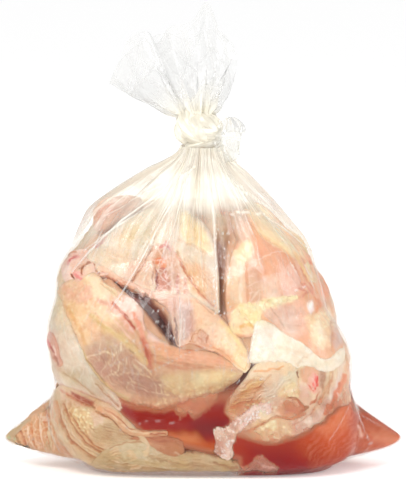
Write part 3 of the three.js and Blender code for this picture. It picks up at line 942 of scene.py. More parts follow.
# %% The breast at the upper left
upper_left_skin = [(96, 238), (146, 210), (150, 240), (124, 264), (96, 260)]
upper_right_muscle = [(178, 256), (200, 262), (217, 280), (217, 306), (196, 292), (182, 276)]
upper_breast_colours = [
    wash("f8e9d6", [(96, 236), (130, 212), (156, 204), (150, 226), (120, 244), (100, 246)], 6),
    wash("f5dab2", [(112, 236), (130, 226), (146, 222), (144, 236), (124, 246)], 5, 0.8),
    wash("ecd0b4", [(100, 250), (122, 246), (138, 252), (132, 268), (112, 262)], 5),
    wash("ebdcc9", [(136, 232), (152, 220), (152, 252), (140, 276), (130, 268)], 4),
    stroke("d9c6ae", [(152, 228, 1), (144, 250, 1.2), (132, 274, 1)], strength=0.7),
    stroke("eec3b8", [(90, 246, 3), (100, 240, 4), (106, 236, 2)]),
    stroke("e3a59c", [(94, 246, 2), (101, 243, 2)]),
    wash("fde5ba", [(176, 207), (192, 213), (206, 230), (214, 254), (200, 250), (184, 240), (178, 224)], 3),
    wash("f9d9a4", [(186, 220), (198, 226), (206, 244), (194, 240)], 4, 0.7),
    wash("efdcc9", [(178, 240), (196, 246), (215, 258), (216, 272), (200, 264), (184, 256)], 3),
    wash("f9e3cf", [(158, 208), (174, 208), (176, 240), (160, 242)], 5, 0.7),
    wash("e2b094", [(150, 246), (170, 242), (178, 262), (186, 292), (160, 290), (150, 270)], 4),
    wash("f3cba8", [(184, 262), (202, 264), (217, 278), (218, 310), (204, 300), (188, 288)], 3),
    wash("efcab4", [(130, 262), (150, 256), (150, 288), (136, 284), (120, 274)], 4),
    stroke("eb9870", [(156, 259, 3), (163, 259, 5.5), (163, 268, 4.5)], strength=1),
    stroke("e6906c", [(154, 262, 1.6), (160, 262, 2)]),
    stroke("e88a82", [(160, 247, 2), (166, 243, 2.5), (170, 250, 1.5)]),
    stroke("cf3f3a", [(166, 246.5, 1.8), (169, 248, 1.4)], strength=1),
    stroke("c8786c", [(160, 270, 2.5), (166, 269, 1.6)]),
    stroke("b0605a", [(155, 266, 1), (157, 276, 1.6), (156, 284, 1)]),
    wash("cf8d78", [(154, 271), (168, 270), (171, 288), (158, 292)], 2, 0.9),
    stroke("a05c54", [(155, 272, 2), (157, 282, 2.4), (156, 288, 1.6)]),
    stroke("c98472", [(177, 277, 2.4), (177, 294, 2.6)]),
    stroke("d79d86", [(185, 277, 2), (186, 293, 2.4)]),
    stroke("f7d9c8", [(172, 262, 1.6), (173, 290, 2)], strength=0.8),
    stroke("efae9c", [(172, 246, 1), (180, 262, 1), (190, 280, 1), (200, 292, 1)], strength=0.8),
    stroke("d6977c", [(180, 264, 1), (192, 282, 1.2), (204, 298, 1)]),
    stroke("e2a386", [(198, 292, 1.4), (208, 302, 1.6), (215, 309, 1.4)]),
    stroke("a77e66", [(204, 304, 1), (214, 312, 1.6)]),
    stroke("c49483", [(150, 250, 1.2), (140, 268, 1.2), (130, 282, 1.2)]),
    stroke("f6e6de", [(150, 262, 2), (143, 280, 2)], strength=0.6),
    stroke("b98a7c", [(152, 270, 0.9), (153, 284, 0.9)], strength=0.7),
    dabs("efcf9c", upper_left_skin, 6, 1.5, 0.45, 3),
    dabs("f7cf8c", [(176, 210), (204, 230), (212, 256), (190, 248), (178, 228)], 7, 1.4, 0.45, 5),
    web("fff4e9", [(92, 250), (130, 214), (180, 208), (214, 256), (216, 296), (170, 292), (110, 266)], 19,
        0.5, 0.45, 2),
    web("fbe6de", [(150, 248), (172, 244), (184, 270), (186, 292), (158, 288)], 8, 0.5, 0.6, 7),
    fibres("dc9c80", upper_right_muscle, (525, 62), 3, 0.45),
    fibres("e4bfae", [(128, 262), (150, 256), (152, 288), (122, 276)], (-200, 60), 3, 0.5),
]
upper_breast_folds = [
    groove(1.2, [(152, 246, 2.5), (142, 264, 3), (130, 284, 2.5)]),
    groove(1.3, [(177, 252, 2), (184, 268, 2.5), (196, 286, 2.5), (213, 306, 2.5)]),
    groove(0.7, [(178, 240, 2.5), (196, 246, 2.5), (214, 258, 2)]),
    groove(0.8, [(153, 262, 1.6), (157, 276, 2), (156, 290, 1.6)]),
    groove(0.6, [(173, 266, 1.6), (174, 290, 2)]),
    groove(-0.9, [(162, 258, 6), (164, 270, 5)]),
    pleats(0.4, upper_right_muscle, (525, 62), 4.5),
    pleats(0.35, [(128, 258), (150, 252), (152, 288), (122, 276)], (-200, 60), 4),
    bumps(0.25, upper_left_skin, 5, 2.4, 3),
    bumps(0.35, [(152, 250), (172, 246), (176, 290), (156, 288)], 5, 2.4, 4),
]
lump(
    "breast_at_the_upper_left",
    middle=(158, 252),
    outline=[(84, 252, 4.2), (90, 242, 5), (100, 232, 6), (114, 222, 7), (130, 213, 8), (146, 205, 9),
             (160, 200, 9), (174, 200, 9), (186, 205, 9), (197, 214, 8), (206, 227, 7), (212, 242, 4.2),
             (215, 258, 3), (217, 275, 3), (218, 295, 3), (218, 312, 3), (213, 313, 2.4), (202, 304, 3),
             (188, 297, 3), (170, 296, 3.6), (152, 292, 3.6), (136, 286, 3.6), (120, 277, 3.6),
             (106, 268, 3.6), (94, 262, 3.6), (86, 258, 3.6)],
    tissue=skin, ground="f3dfc9", marks=upper_breast_colours, grooves=upper_breast_folds, size=(340, 130),
    rough=1.0,
)

# %% Meat at the left shoulder, and the joint below it
shoulder_colours = [
    wash("ecc9b2", [(92, 200), (110, 194), (126, 194), (120, 201), (100, 206)], 3),
    wash("e0946e", [(98, 204), (116, 201), (110, 212), (102, 220), (94, 216)], 3),
    stroke("f3d8c6", [(98, 206, 1), (110, 201, 1.2), (122, 198, 1)]),
    stroke("f1d0ba", [(98, 213, 1), (108, 206, 1.2), (120, 203, 1)]),
    stroke("c98262", [(112, 196, 1), (124, 197, 1)]),
    stroke("c98a6c", [(108, 214, 1.2), (120, 204, 1)]),
]
lump(
    "meat_at_the_left_shoulder",
    middle=(110, 208),
    outline=[(89, 212, 3.6), (94, 201, 3.6), (104, 195, 3.6), (118, 192, 3.6), (132, 193, 3.6),
             (134, 200, 3.6), (124, 209, 3.6), (112, 218, 3.6), (100, 226, 3.6), (90, 224, 3.6)],
    tissue=meat, ground="e2b294", marks=shoulder_colours,
    grooves=[groove(1, [(98, 210, 1.6), (110, 203, 2), (124, 199, 1.6)])], size=(170, 70), rough=1.6,
    proud=-0.2,
)

shoulder_joint_colours = [
    wash("f6dccb", [(60, 262), (68, 262), (70, 280), (61, 280)], 3),
    wash("f5ddc6", [(82, 262), (92, 262), (92, 273), (84, 275)], 2),
    stroke("e9a196", [(66, 262, 3), (72, 257, 3), (77, 256, 2.5)]),
    stroke("cf6358", [(68, 260, 1.6), (74, 257, 1.8)]),
    stroke("d99a72", [(66, 253, 1.6), (74, 251, 1.6)]),
    stroke("9a5c44", [(70, 274, 1.3), (72, 278, 1.3)]),
    stroke("f29c96", [(74, 274, 3.5), (79, 278, 3)]),
    stroke("f7c2ba", [(73, 270, 1.4), (80, 272, 1.4)]),
    stroke("b97c56", [(80, 272, 1.2), (82, 264, 1.6), (88, 262, 1.4)]),
    stroke("a46a4c", [(78, 268, 1), (84, 266, 1)]),
    stroke("e8cdb4", [(86, 256, 2.5), (96, 256, 2.5)]),
    stroke("c8917a", [(93, 262, 1.4), (97, 272, 1.8)]),
    stroke("dc7f74", [(100, 261, 2.2), (106, 266, 2.6)]),
    stroke("f3d3c4", [(98, 266, 1.4), (102, 272, 1.6)]),
    stroke("c39a80", [(58, 262, 1), (62, 256, 1), (68, 252, 1)]),
]
shoulder_joint_folds = [
    groove(1.4, [(69, 272, 1.6), (72, 279, 1.6)]),
    groove(1.2, [(80, 274, 1.6), (82, 264, 2), (90, 261, 1.6)]),
    groove(1.2, [(93, 262, 1.6), (98, 273, 2)]),
    groove(0.8, [(64, 256, 1.6), (76, 254, 1.6)]),
]
lump(
    "joint_at_the_left",
    middle=(78, 266),
    outline=[(57, 264, 3), (60, 256, 3), (68, 250, 3), (82, 248, 3), (94, 253, 2.4), (104, 258, 1.8),
             (112, 266, 1.8), (108, 272, 1.8), (98, 274, 1.8), (92, 272, 1.8), (86, 275, 1.8),
             (80, 281, 1.8), (70, 281, 2.4), (61, 280, 3)],
    tissue=bone, ground="f2d0bb", marks=shoulder_joint_colours, grooves=shoulder_joint_folds,
    size=(200, 80), rough=1.6,
)

# %% The breast that stands at the right
deep_yellow = [(240, 327, 3), (248, 324, 3), (255, 328, 2.6)]
crease_in_the_fat = [(247, 319, 1), (250, 324, 1), (255, 330, 1)]
fat_on_the_breast = [(229, 312), (264, 302), (298, 296), (262, 314), (258, 332), (232, 334)]
yellowest_fat = [(229, 312), (262, 304), (260, 332), (232, 334)]
low_right_skin = [(306, 316), (330, 306), (338, 322), (334, 346), (314, 350)]
upper_muscle = [(252, 228), (264, 236), (292, 254), (296, 274), (262, 276), (254, 254)]
right_muscle = [(318, 300), (336, 300), (346, 330), (330, 350)]
standing_breast_colours = [
    # The first three washes, where the breast turns in at the top left beside the gap, are painted shade.
    wash("e4c2a8", [(230, 214), (244, 206), (252, 214), (250, 236), (240, 246), (234, 238)], 4),
    wash("d9bba4", [(230, 212), (240, 212), (242, 230), (232, 230)], 4, 0.8),
    wash("efc6aa", [(240, 222), (252, 222), (254, 240), (244, 242)], 4, 0.8),
    wash("f0d3b2", [(226, 262), (234, 248), (246, 254), (244, 304), (228, 308)], 3),
    wash("fcdfb6", [(234, 250), (244, 241), (252, 241), (252, 254), (246, 264), (236, 264)], 2),
    stroke("fce9d6", [(240, 262, 2), (241, 280, 2.6), (241, 302, 2)], strength=0.6),
    wash("e0bb9e", [(246, 262), (254, 254), (261, 262), (264, 290), (262, 302), (250, 304), (247, 286)], 4),
    stroke("efd3bd", [(262, 270, 1.4), (266, 286, 1.8), (270, 300, 1.6)]),
    wash("eeb897", [(252, 226), (262, 237), (284, 249), (294, 259), (296, 272), (262, 276), (256, 256),
                    (252, 240)], 3),
    wash("e9a880", [(252, 228), (262, 238), (262, 246), (253, 244)], 3, 0.4),
    stroke("f6d6bf", [(254, 262, 0.8), (264, 256, 1), (278, 251, 1), (290, 250, 0.8)], strength=0.8),
    wash("f6d0be", [(279, 268), (298, 264), (303, 284), (298, 298), (284, 298), (278, 284)], 5),
    wash("f7dcc6", [(262, 278), (278, 276), (282, 298), (268, 302)], 5),
    stroke("fbe9e0", [(287, 270, 1), (290, 275, 1.2)], strength=0.9),
    wash("ffeabf", [(246, 200), (262, 204), (278, 220), (294, 238), (304, 256), (294, 256), (274, 244),
                    (258, 232), (250, 216)], 3, 1),
    wash("fff3da", [(256, 202), (268, 208), (282, 222), (298, 242), (306, 256), (296, 250), (278, 232)], 3,
         0.8),
    stroke("fcdca6", [(296, 252, 3), (303, 266, 2.6), (309, 280, 2)]),
    stroke("f9d9ae", [(284, 230, 2), (300, 248, 2.4), (312, 264, 2.2), (319, 280, 2.4), (324, 298, 2.4)]),
    stroke("dd8a70", [(294, 262, 1), (300, 276, 1.6), (304, 288, 1.6)], strength=0.6),
    stroke("dd8a70", [(302, 268, 1), (308, 280, 1.6), (314, 288, 1.4)], strength=0.6),
    stroke("fff0e6", [(292, 262, 0.8), (297, 272, 1), (303, 281, 0.9)]),
    stroke("fff2e8", [(306, 264, 1), (311, 275, 1.4), (315, 288, 1.2)]),
    stroke("d98470", [(300, 288, 2), (308, 292, 2.4), (304, 296, 2)], strength=0.6),
    stroke("e59c88", [(306, 284, 2.5), (314, 292, 3)], strength=0.8),
    wash("f9ad8c", [(307, 256), (318, 260), (327, 272), (334, 294), (322, 296), (318, 276)], 4),
    stroke("ef8a66", [(311, 261, 2.4), (318, 267, 2)]),
    stroke("d98a6c", [(328, 276, 1.6), (336, 300, 1.6), (342, 316, 1.6)]),
    wash("fdebc3", [(229, 330), (232, 312), (240, 303), (252, 304), (264, 299), (292, 295), (300, 298),
                    (280, 307), (264, 310), (258, 322), (262, 334), (232, 334)], 2, 1),
    stroke("f4cf88", deep_yellow),
    stroke("e9b878", crease_in_the_fat, strength=0.7),
    wash("f0d4c2", [(264, 310), (280, 306), (300, 306), (306, 330), (296, 338), (282, 330)], 5),
    stroke("dfc0ac", [(271, 308, 1), (279, 318, 1.2), (285, 327, 1)], strength=0.7),
    stroke("e4c6b4", [(266, 316, 2), (274, 322, 2)]),
    wash("f8cfb6", [(296, 300), (306, 300), (308, 334), (298, 336)], 5, 0.8),
    wash("fee4bf", [(306, 316), (330, 306), (338, 320), (334, 346), (314, 350)], 4),
    stroke("fdf1d6", [(318, 326, 4), (322, 338, 5)], strength=0.7),
    stroke("f0a278", [(316, 297, 2.5), (322, 304, 3.5), (317, 311, 2.5)]),
    wash("fde8dc", [(308, 302), (312, 300), (315, 304), (315, 310), (312, 314), (308, 311)], 1, 1),
    wash("e3c5b8", [(334, 318), (342, 318), (346, 338), (338, 350), (331, 340)], 3),
    stroke("d9694e", [(344, 322, 2), (348, 334, 2), (349, 342, 2)]),
    web("f9e5d2", [(245, 262), (262, 258), (266, 300), (248, 304)], 8, 0.5, 0.5, 3),
    web("fbe9df", [(262, 278), (300, 262), (304, 298), (268, 302)], 11, 0.5, 0.45, 5),
    web("f6e4da", [(264, 310), (304, 306), (306, 334), (284, 332)], 10, 0.5, 0.5, 6),
    dabs("fff0c6", fat_on_the_breast, 4.5, 1.6, 0.6, 2),
    dabs("f2c98c", yellowest_fat, 7, 1.5, 0.5, 4),
    dabs("fff3cf", low_right_skin, 5, 1.7, 0.5, 8),
    dabs("f4ca9c", [(312, 310), (334, 310), (338, 344), (316, 348)], 8, 1.5, 0.45, 9),
    fibres("dd9c78", upper_muscle, (760, 160), 3, 0.2),
    fibres("fbd6b0", [(308, 258), (322, 262), (334, 296), (322, 298)], (700, 140), 3, 0.5),
    fibres("e9bf9f", right_muscle, (700, 220), 3, 0.4),
]
standing_breast_folds = [
    groove(0.8, [(246, 262, 2), (247, 284, 2), (248, 302, 2)]),
    groove(0.9, [(252, 222, 2.5), (262, 235, 2.5), (284, 247, 2.5), (296, 262, 2), (303, 282, 2)]),
    groove(0.7, [(282, 228, 2), (300, 250, 2), (312, 272, 2), (318, 292, 2)]),
    groove(0.9, [(262, 302, 2.5), (284, 299, 2.5), (300, 297, 2.5)]),
    groove(0.3, [(278, 268, 2), (279, 284, 2), (284, 298, 2)]),
    groove(0.4, [(271, 308, 2), (285, 328, 2)]),
    groove(0.9, [(332, 316, 2), (334, 334, 2), (334, 350, 2)]),
    groove(-0.8, [(311, 303, 4), (311, 310, 4)]),
    groove(-0.9, [(318, 326, 10), (322, 340, 10)]),
    bumps(0.45, fat_on_the_breast, 5, 2.4, 2),
    bumps(0.4, low_right_skin, 6, 2.6, 8),
    pleats(0.12, upper_muscle, (760, 160), 5),
    pleats(0.3, right_muscle, (700, 220), 4),
]
lump(
    "breast_standing_at_the_right",
    middle=(280, 276),
    outline=[(227, 300, 3), (227, 280, 3), (229, 264, 3.6), (232, 252, 4.2), (236, 238, 8), (232, 226, 8),
             (231, 216, 8), (238, 206, 8), (250, 198, 9), (264, 201, 8), (278, 212, 7), (292, 228, 6),
             (304, 243, 6), (314, 256, 4.2), (325, 268, 3.6), (332, 288, 4.2), (338, 304, 4.8),
             (345, 320, 4.8), (351, 336, 4.8), (349, 352, 4.8), (330, 360, 4.8), (306, 352, 4.2),
             (286, 342, 3.6), (264, 334, 3.6), (246, 337, 3), (233, 333, 3), (229, 318, 3)],
    tissue=meat, ground="f2c3a2", marks=standing_breast_colours, grooves=standing_breast_folds,
    size=(420, 150), rough=0.9,
)

standing_fat_colours = [
    stroke("f4cf88", deep_yellow),
    stroke("e9b878", crease_in_the_fat, strength=0.7),
    stroke("fff2d2", [(240, 308, 2), (256, 307, 2), (280, 300, 1.6)]),
    dabs("fff6da", [(229, 312), (264, 300), (300, 295), (262, 314), (258, 332), (232, 334)], 4.5, 1.6, 0.6,
         2),
    dabs("f2c98c", yellowest_fat, 7, 1.5, 0.5, 4),
]
standing_fat_folds = [
    bumps(0.35, [(229, 312), (264, 300), (300, 295), (262, 314), (258, 334), (232, 336)], 5, 2.4, 2),
    groove(0.8, [(246, 316, 1.6), (250, 326, 2), (256, 333, 1.6)]),
]
band(
    "fold_of_fat_on_the_standing_breast",
    upper=[(229, 324), (233, 309), (243, 303), (255, 303), (266, 299), (282, 295), (300, 296)],
    lower=[(232, 334), (246, 337), (259, 331), (262, 318), (270, 310), (284, 305), (301, 300)],
    tissue=fat, ground="fce9c0", marks=standing_fat_colours, grooves=standing_fat_folds, size=(70, 170),
    roundness=(4, 4), thick=6, proud=0.2, rough=1.2, ragged=(0.8, 1.0),
)

# %% [markdown]
# ## The wings and loose skin below
# A wing is folded at the lower right, with its joint cut open, under a flap of white skin. At the
# lower left more skin lies in long curved folds and runs out into the bag's corner. Skin is thin
# and lies in strips, so most of it is made of bands. Seeded waves make the torn edges ragged, so
# that they come out the same each time.

# %% The wing at the right
gathered_skin = [(228, 404), (240, 388), (258, 376), (268, 386), (258, 410), (240, 416), (230, 414)]
pale_drape = [(300, 366), (298, 380), (268, 404), (252, 412), (262, 392)]
right_drape = [(334, 360), (344, 362), (330, 410), (312, 430), (320, 404)]
edge_of_the_wing = [(346, 356), (356, 366), (357, 394), (346, 396)]
wing_colours = [
    wash("f6ddbc", [(254, 364), (300, 362), (300, 372), (280, 374), (256, 372)], 3),
    stroke("f0b787", [(254, 371, 1.6), (266, 371, 2), (284, 367, 1.4)]),
    wash("e9dac4", [(298, 372), (286, 378), (268, 392), (252, 408), (262, 410), (284, 400), (297, 388)], 4),
    wash("ebdfca", [(300, 366), (284, 376), (264, 390), (268, 396), (290, 384), (299, 376)], 3),
    wash("ecc795", [(226, 410), (240, 390), (256, 378), (262, 384), (246, 402), (236, 414)], 4),
    stroke("eecb92", [(240, 398, 3), (250, 388, 4), (262, 382, 3)]),
    stroke("f2dfae", [(246, 404, 4), (262, 402, 3)], strength=0.8),
    stroke("d09c72", [(236, 400, 0.9), (246, 394, 1), (256, 392, 0.9)], strength=0.5),
    stroke("d09c72", [(232, 408, 0.9), (244, 403, 1), (254, 402, 0.9)], strength=0.5),
    stroke("d4a37c", [(242, 386, 0.9), (252, 384, 1), (262, 388, 0.9)], strength=0.5),
    stroke("d08a5e", [(252, 412, 1.2), (264, 406, 1.4), (272, 408, 1.2)]),
    wash("f3deb0", [(280, 388), (292, 382), (300, 390), (300, 398), (288, 400), (278, 398)], 3),
    stroke("f8e8c6", [(284, 392, 2), (296, 390, 2.4)]),
    wash("ecb89c", [(299, 370), (306, 366), (318, 366), (322, 378), (312, 386), (302, 382)], 2),
    wash("efcdb8", [(300, 384), (308, 386), (310, 398), (302, 398)], 2),
    stroke("9c6a50", [(297, 372, 1.2), (299, 378, 1.2)]),
    wash("f5bfb0", [(309, 378), (314, 373), (320, 376), (320, 390), (314, 395), (308, 390)], 1.5, 1),
    wash("f24f48", [(316, 374), (319, 378), (318, 387), (314, 390), (313, 383)], 1.2, 1),
    stroke("e9604f", [(310, 385, 0.9), (313, 391, 1)]),
    wash("c2937a", [(320, 370), (327, 368), (327, 382), (323, 394), (320, 386)], 2),
    stroke("cf7c56", [(320, 392, 1.6), (316, 400, 2), (310, 405, 1.6)]),
    stroke("f6dfc4", [(321, 398, 1.4), (317, 406, 1.6)]),
    stroke("a5683f", [(290, 398, 1), (297, 399, 1.4), (302, 405, 1.6), (308, 408, 1.8), (303, 412, 1.4)]),
    wash("e4b28f", [(280, 404), (294, 401), (303, 408), (302, 416), (286, 418), (278, 412)], 2),
    stroke("e4b3a0", [(286, 412, 2.4), (295, 411, 2.6)]),
    # This stroke and the c79a78 one below are a painted shadow line along the fold under the wing.
    stroke("c48a66", [(276, 416, 0.9), (290, 420, 1), (302, 417, 0.9)]),
    wash("f2dcb4", [(250, 428), (266, 420), (284, 418), (294, 428), (288, 440), (266, 444), (250, 440)], 3),
    # Painted shadow line along the lower fold, which runs on into the stroke above.
    stroke("c79a78", [(246, 433, 1.2), (258, 427, 1.3), (272, 418, 1.2)], strength=0.6),
    stroke("f0dab0", [(270, 426, 2.4), (284, 425, 2.4)], strength=0.8),
    wash("efd8c6", [(294, 422), (308, 412), (322, 408), (314, 424), (302, 436), (294, 436)], 3),
    stroke("ce9c7c", [(296, 424, 1), (306, 418, 1), (314, 412, 1)], strength=0.7),
    stroke("f5dfd0", [(342, 362, 5), (341, 376, 5.5), (334, 392, 5), (326, 406, 4.5), (316, 422, 4)],
           soft=0.6),
    stroke("d9a78c", [(334, 368, 1.2), (334, 380, 1.2), (328, 394, 1.2)], strength=0.8),
    wash("f5c6a4", [(346, 356), (354, 366), (357, 392), (347, 392), (347, 374)], 2),
    stroke("f09a70", [(346, 376, 4), (342, 390, 5), (336, 398, 3)], strength=0.95),
    wash("f6dcb8", [(346, 384), (357, 386), (357, 402), (348, 404), (345, 396)], 2),
    stroke("e58c66", [(340, 384, 3), (337, 394, 4), (334, 404, 5), (326, 414, 4)], strength=0.95),
    stroke("fbe2d0", [(338, 394, 1.4), (342, 398, 1.8), (340, 402, 1.4)]),
    stroke("f4b48e", [(346, 400, 1.4), (338, 406, 1.6), (332, 414, 1.4)]),
    stroke("c98363", [(240, 436, 2), (262, 443, 2.4), (290, 439, 2.4), (306, 433, 2)], soft=1,
           strength=0.8),
    fibres("c08a5e", gathered_skin, (345, 680), 3.2, 0.5),
    fibres("c9b296", pale_drape, (540, 688), 2.8, 0.5),
    fibres("d9bca4", right_drape, (225, 355), 2.4, 0.5),
    fibres("e0a27c", edge_of_the_wing, (-200, 380), 2.6, 0.6),
    dabs("f4e0b2", [(240, 398), (264, 398), (262, 414), (244, 414)], 4.5, 1.6, 0.6, 3),
    dabs("f8ebc8", [(280, 386), (300, 384), (300, 400), (284, 402)], 4.5, 1.5, 0.6, 4),
    web("f6e8d0", [(250, 426), (290, 418), (322, 408), (304, 434), (266, 443)], 8, 0.5, 0.55, 5),
    web("f4d9c6", [(300, 384), (322, 372), (322, 396), (304, 404)], 6, 0.5, 0.6, 6),
]
wing_folds = [
    groove(1.2, [(238, 396, 2), (250, 390, 2.4), (262, 388, 2)]),
    groove(1.1, [(232, 408, 2), (246, 402, 2.4), (258, 402, 2)]),
    groove(1.0, [(244, 384, 2), (254, 380, 2)]),
    groove(1.1, [(288, 398, 1.6), (298, 400, 2), (304, 408, 2.4), (302, 413, 1.6)]),
    groove(0.8, [(248, 432, 2), (262, 424, 2.4), (276, 417, 2.4), (292, 419, 2), (306, 414, 2)]),
    groove(0.8, [(332, 366, 2), (332, 380, 2.4), (324, 396, 2.4), (314, 410, 2)]),
    groove(0.7, [(298, 368, 1.6), (298, 380, 2), (300, 396, 1.6)]),
    groove(-1.4, [(316, 377, 3), (315, 388, 3)]),
    groove(0.9, [(270, 376, 2), (256, 392, 2), (248, 410, 2)]),
    pleats(0.9, gathered_skin, (345, 680), 4.2),
    pleats(0.35, pale_drape, (540, 688), 3.2),
    pleats(0.35, right_drape, (225, 355), 2.8),
    pleats(0.5, edge_of_the_wing, (-200, 380), 3.2),
    bumps(0.6, [(240, 398), (300, 386), (300, 402), (262, 416), (244, 414)], 5, 2.2, 3),
    bumps(0.5, [(250, 426), (290, 418), (318, 412), (304, 434), (266, 443)], 6, 2.8, 4),
]
lump(
    "wing_at_the_right",
    middle=(288, 402),
    outline=[(225, 412, 3.6), (228, 402, 4.2), (236, 392, 4.2), (245, 381, 3.6), (252, 370, 2.4),
             (262, 362, 1.8), (278, 359, 1.8), (296, 360, 1.8), (312, 362, 1.8), (330, 362, 1.8),
             (344, 356, 2.4), (352, 362, 3), (356, 380, 3.6), (357, 392, 3.6), (354, 401, 5), (349, 406, 6),
             (343, 407, 6), (337, 414, 6), (331, 417, 6), (326, 424, 6), (317, 427, 6), (308, 435, 6),
             (290, 441, 4.2), (270, 445, 4.2), (252, 441, 3.6), (238, 436, 3), (234, 426, 3),
             (230, 419, 3.6)],
    tissue=skin, ground="f3dcc0", marks=wing_colours, grooves=wing_folds, size=(420, 140), rough=1.2,
)

# %% Skin at the right edge and the flap of white skin
right_skin_colours = [
    stroke("d5b8a4", [(340, 342, 3), (346, 352, 3)]),
    stroke("f7e0c6", [(347, 350, 2), (350, 372, 2.4)]),
    stroke("dd7458", [(350, 332, 3), (354, 346, 2)], strength=0.8),
    stroke("c9604a", [(354, 396, 6), (360, 412, 6)]),
]
band(
    "skin_at_the_right_edge",
    upper=[(338, 338), (346, 330), (354, 344), (360, 368), (366, 392), (372, 412)],
    lower=[(338, 342), (340, 356), (344, 372), (346, 386), (350, 398), (356, 412)],
    tissue=skin, ground="f0cdae", marks=right_skin_colours,
    grooves=[groove(1.2, [(346, 346, 2), (350, 366, 2.4), (352, 392, 2)])], size=(90, 160),
    roundness=(5, 3), thick=10, proud=-0.6, rough=1.2, seed=7,
)

white_flap_colours = [
    wash("fff8ee", [(255, 324), (268, 324), (280, 332), (276, 350), (262, 358), (253, 350)], 3),
    wash("f8e6d2", [(284, 336), (300, 344), (306, 356), (296, 362), (286, 352)], 4, 0.8),
    stroke("ecd8c2", [(280, 346, 1), (298, 350, 0.9)], strength=0.4),
    stroke("e5cbb0", [(296, 366, 1), (302, 358, 1.2), (312, 354, 1)], strength=0.5),
    wash("f6ead8", [(312, 352), (330, 362), (338, 358), (330, 370), (314, 366)], 3, 0.8),
    web("fffaf2", [(254, 324), (290, 336), (338, 356), (310, 364), (256, 360)], 16, 0.5, 0.6, 2),
]
white_flap_folds = [
    groove(0.3, [(258, 354, 3), (276, 346, 3), (300, 352, 3)]),
    groove(0.4, [(298, 366, 2.5), (306, 354, 2.5), (316, 352, 2.5)]),
]
band(
    "flap_of_white_skin",
    upper=[(249, 359), (251, 344), (254, 328), (258, 322), (266, 322), (276, 327), (288, 335), (300, 341),
           (310, 348), (320, 357), (330, 360), (339, 352), (346, 345)],
    lower=[(249, 362), (256, 362), (264, 361), (272, 361), (282, 361), (290, 363), (297, 368), (304, 366),
           (312, 366), (320, 370), (331, 371), (340, 366), (347, 358)],
    tissue=skin, ground="fdf0e0", marks=white_flap_colours, grooves=white_flap_folds, size=(120, 240),
    roundness=(2.5, 2.5), thick=6, proud=0.4, ragged=(0.4, 0.5),
)

# %% Strips of skin over the juice
whole_strip = [(214, 430), (270, 404), (272, 412), (236, 434), (232, 460), (216, 456)]
bumpy_strip_colours = [
    stroke("e6c8b6", [(264, 408, 3), (246, 418, 3), (232, 430, 3)], strength=0.8),
    wash("c98a76", [(214, 436), (224, 440), (226, 458), (214, 456)], 3, 0.7),
    stroke("e9cfc2", [(230, 442, 1.6), (231, 456, 1.6)]),
    dabs("fff2ea", whole_strip, 3.4, 1.3, 0.8, 2),
]
band(
    "goosebumped_strip_of_skin",
    upper=[(272, 404), (262, 404), (252, 408), (242, 416), (233, 422), (226, 428), (218, 428), (214, 432),
           (216, 444), (214, 454)],
    lower=[(272, 412), (264, 417), (252, 421), (243, 428), (236, 436), (235, 441), (232, 447), (233, 455),
           (228, 461), (220, 458)],
    tissue=goose_skin, ground="f6dacb", marks=bumpy_strip_colours,
    grooves=[bumps(0.9, whole_strip, 3.4, 1.7, 2)], size=(110, 260), roundness=(2, 2), thick=6, proud=0.5,
    rough=1.0, ragged=(0.9, 0.9),
)

band(
    "small_strip_of_skin",
    upper=[(224, 462), (232, 468), (242, 470), (250, 466), (256, 459), (263, 458), (270, 464), (279, 469)],
    lower=[(223, 467), (232, 473), (243, 474), (252, 472), (258, 472), (264, 474), (272, 475), (279, 473)],
    tissue=goose_skin, ground="c79584",
    marks=[stroke("e0bfb2", [(258, 464, 1.6), (268, 469, 1.8), (276, 471, 1.4)])], size=(70, 160),
    roundness=(1.6, 1.6), thick=4, rough=1.0, ragged=(0.8, 0.9),
)

fringe_colours = [
    wash("dcb088", [(184, 398), (202, 391), (216, 396), (202, 402), (188, 406)], 3),
    stroke("e0b394", [(186, 408, 1.6), (190, 414, 1.6)]),
    stroke("b5694c", [(192, 404, 1.2), (197, 411, 1.4)]),
    stroke("b5694c", [(204, 400, 1), (207, 407, 1.2)]),
]
band(
    "torn_edge_of_meat",
    upper=[(174, 408), (184, 399), (193, 394), (202, 391), (211, 391), (218, 396)],
    lower=[(174, 411), (181, 417), (188, 413), (194, 419), (202, 413), (208, 409), (218, 399)],
    tissue=meat, ground="d3a07c", marks=fringe_colours, size=(80, 120), roundness=(3, 3), thick=8,
    rough=1.8, ragged=(0.8, 2.2), proud=-0.8,
)

# %% Skin and an open joint down the left side
side_skin_colours = [
    wash("f1dfc8", [(50, 290), (62, 300), (66, 326), (50, 322)], 4, 0.8),
    wash("e4c0aa", [(42, 330), (52, 330), (60, 356), (60, 372), (50, 368), (44, 350)], 3, 0.8),
    wash("ecd6c2", [(54, 330), (68, 334), (74, 356), (60, 360)], 4, 0.8),
    wash("d6c4ad", [(64, 372), (84, 370), (100, 388), (112, 402), (92, 396), (70, 386)], 4),
    stroke("ddd0b8", [(90, 376, 3), (104, 390, 3.4), (116, 402, 2.4)]),
    stroke("c9b193", [(60, 374, 1), (76, 382, 1.2), (92, 394, 1)], strength=0.8),
    stroke("b9926c", [(95, 384, 0.8), (106, 396, 1), (118, 407, 0.8)], strength=0.8),
    stroke("d8aa92", [(58, 386, 2.4), (76, 391, 2.6), (94, 399, 2.4), (110, 405, 2)], soft=1),
    stroke("eee4d4", [(58, 300, 1), (62, 330, 1.2), (70, 360, 1)], strength=0.6),
    web("f6eee2", [(48, 300), (64, 306), (84, 360), (100, 390), (60, 380), (44, 340)], 17, 0.5, 0.5, 3),
]
side_skin_folds = [
    groove(0.7, [(58, 372, 2), (76, 382, 2.4), (94, 396, 2)]),
    groove(0.6, [(90, 376, 2), (106, 394, 2), (118, 406, 2)]),
    pleats(0.3, [(48, 300), (64, 306), (84, 360), (104, 394), (60, 384), (44, 340)], (515, 115), 5),
]
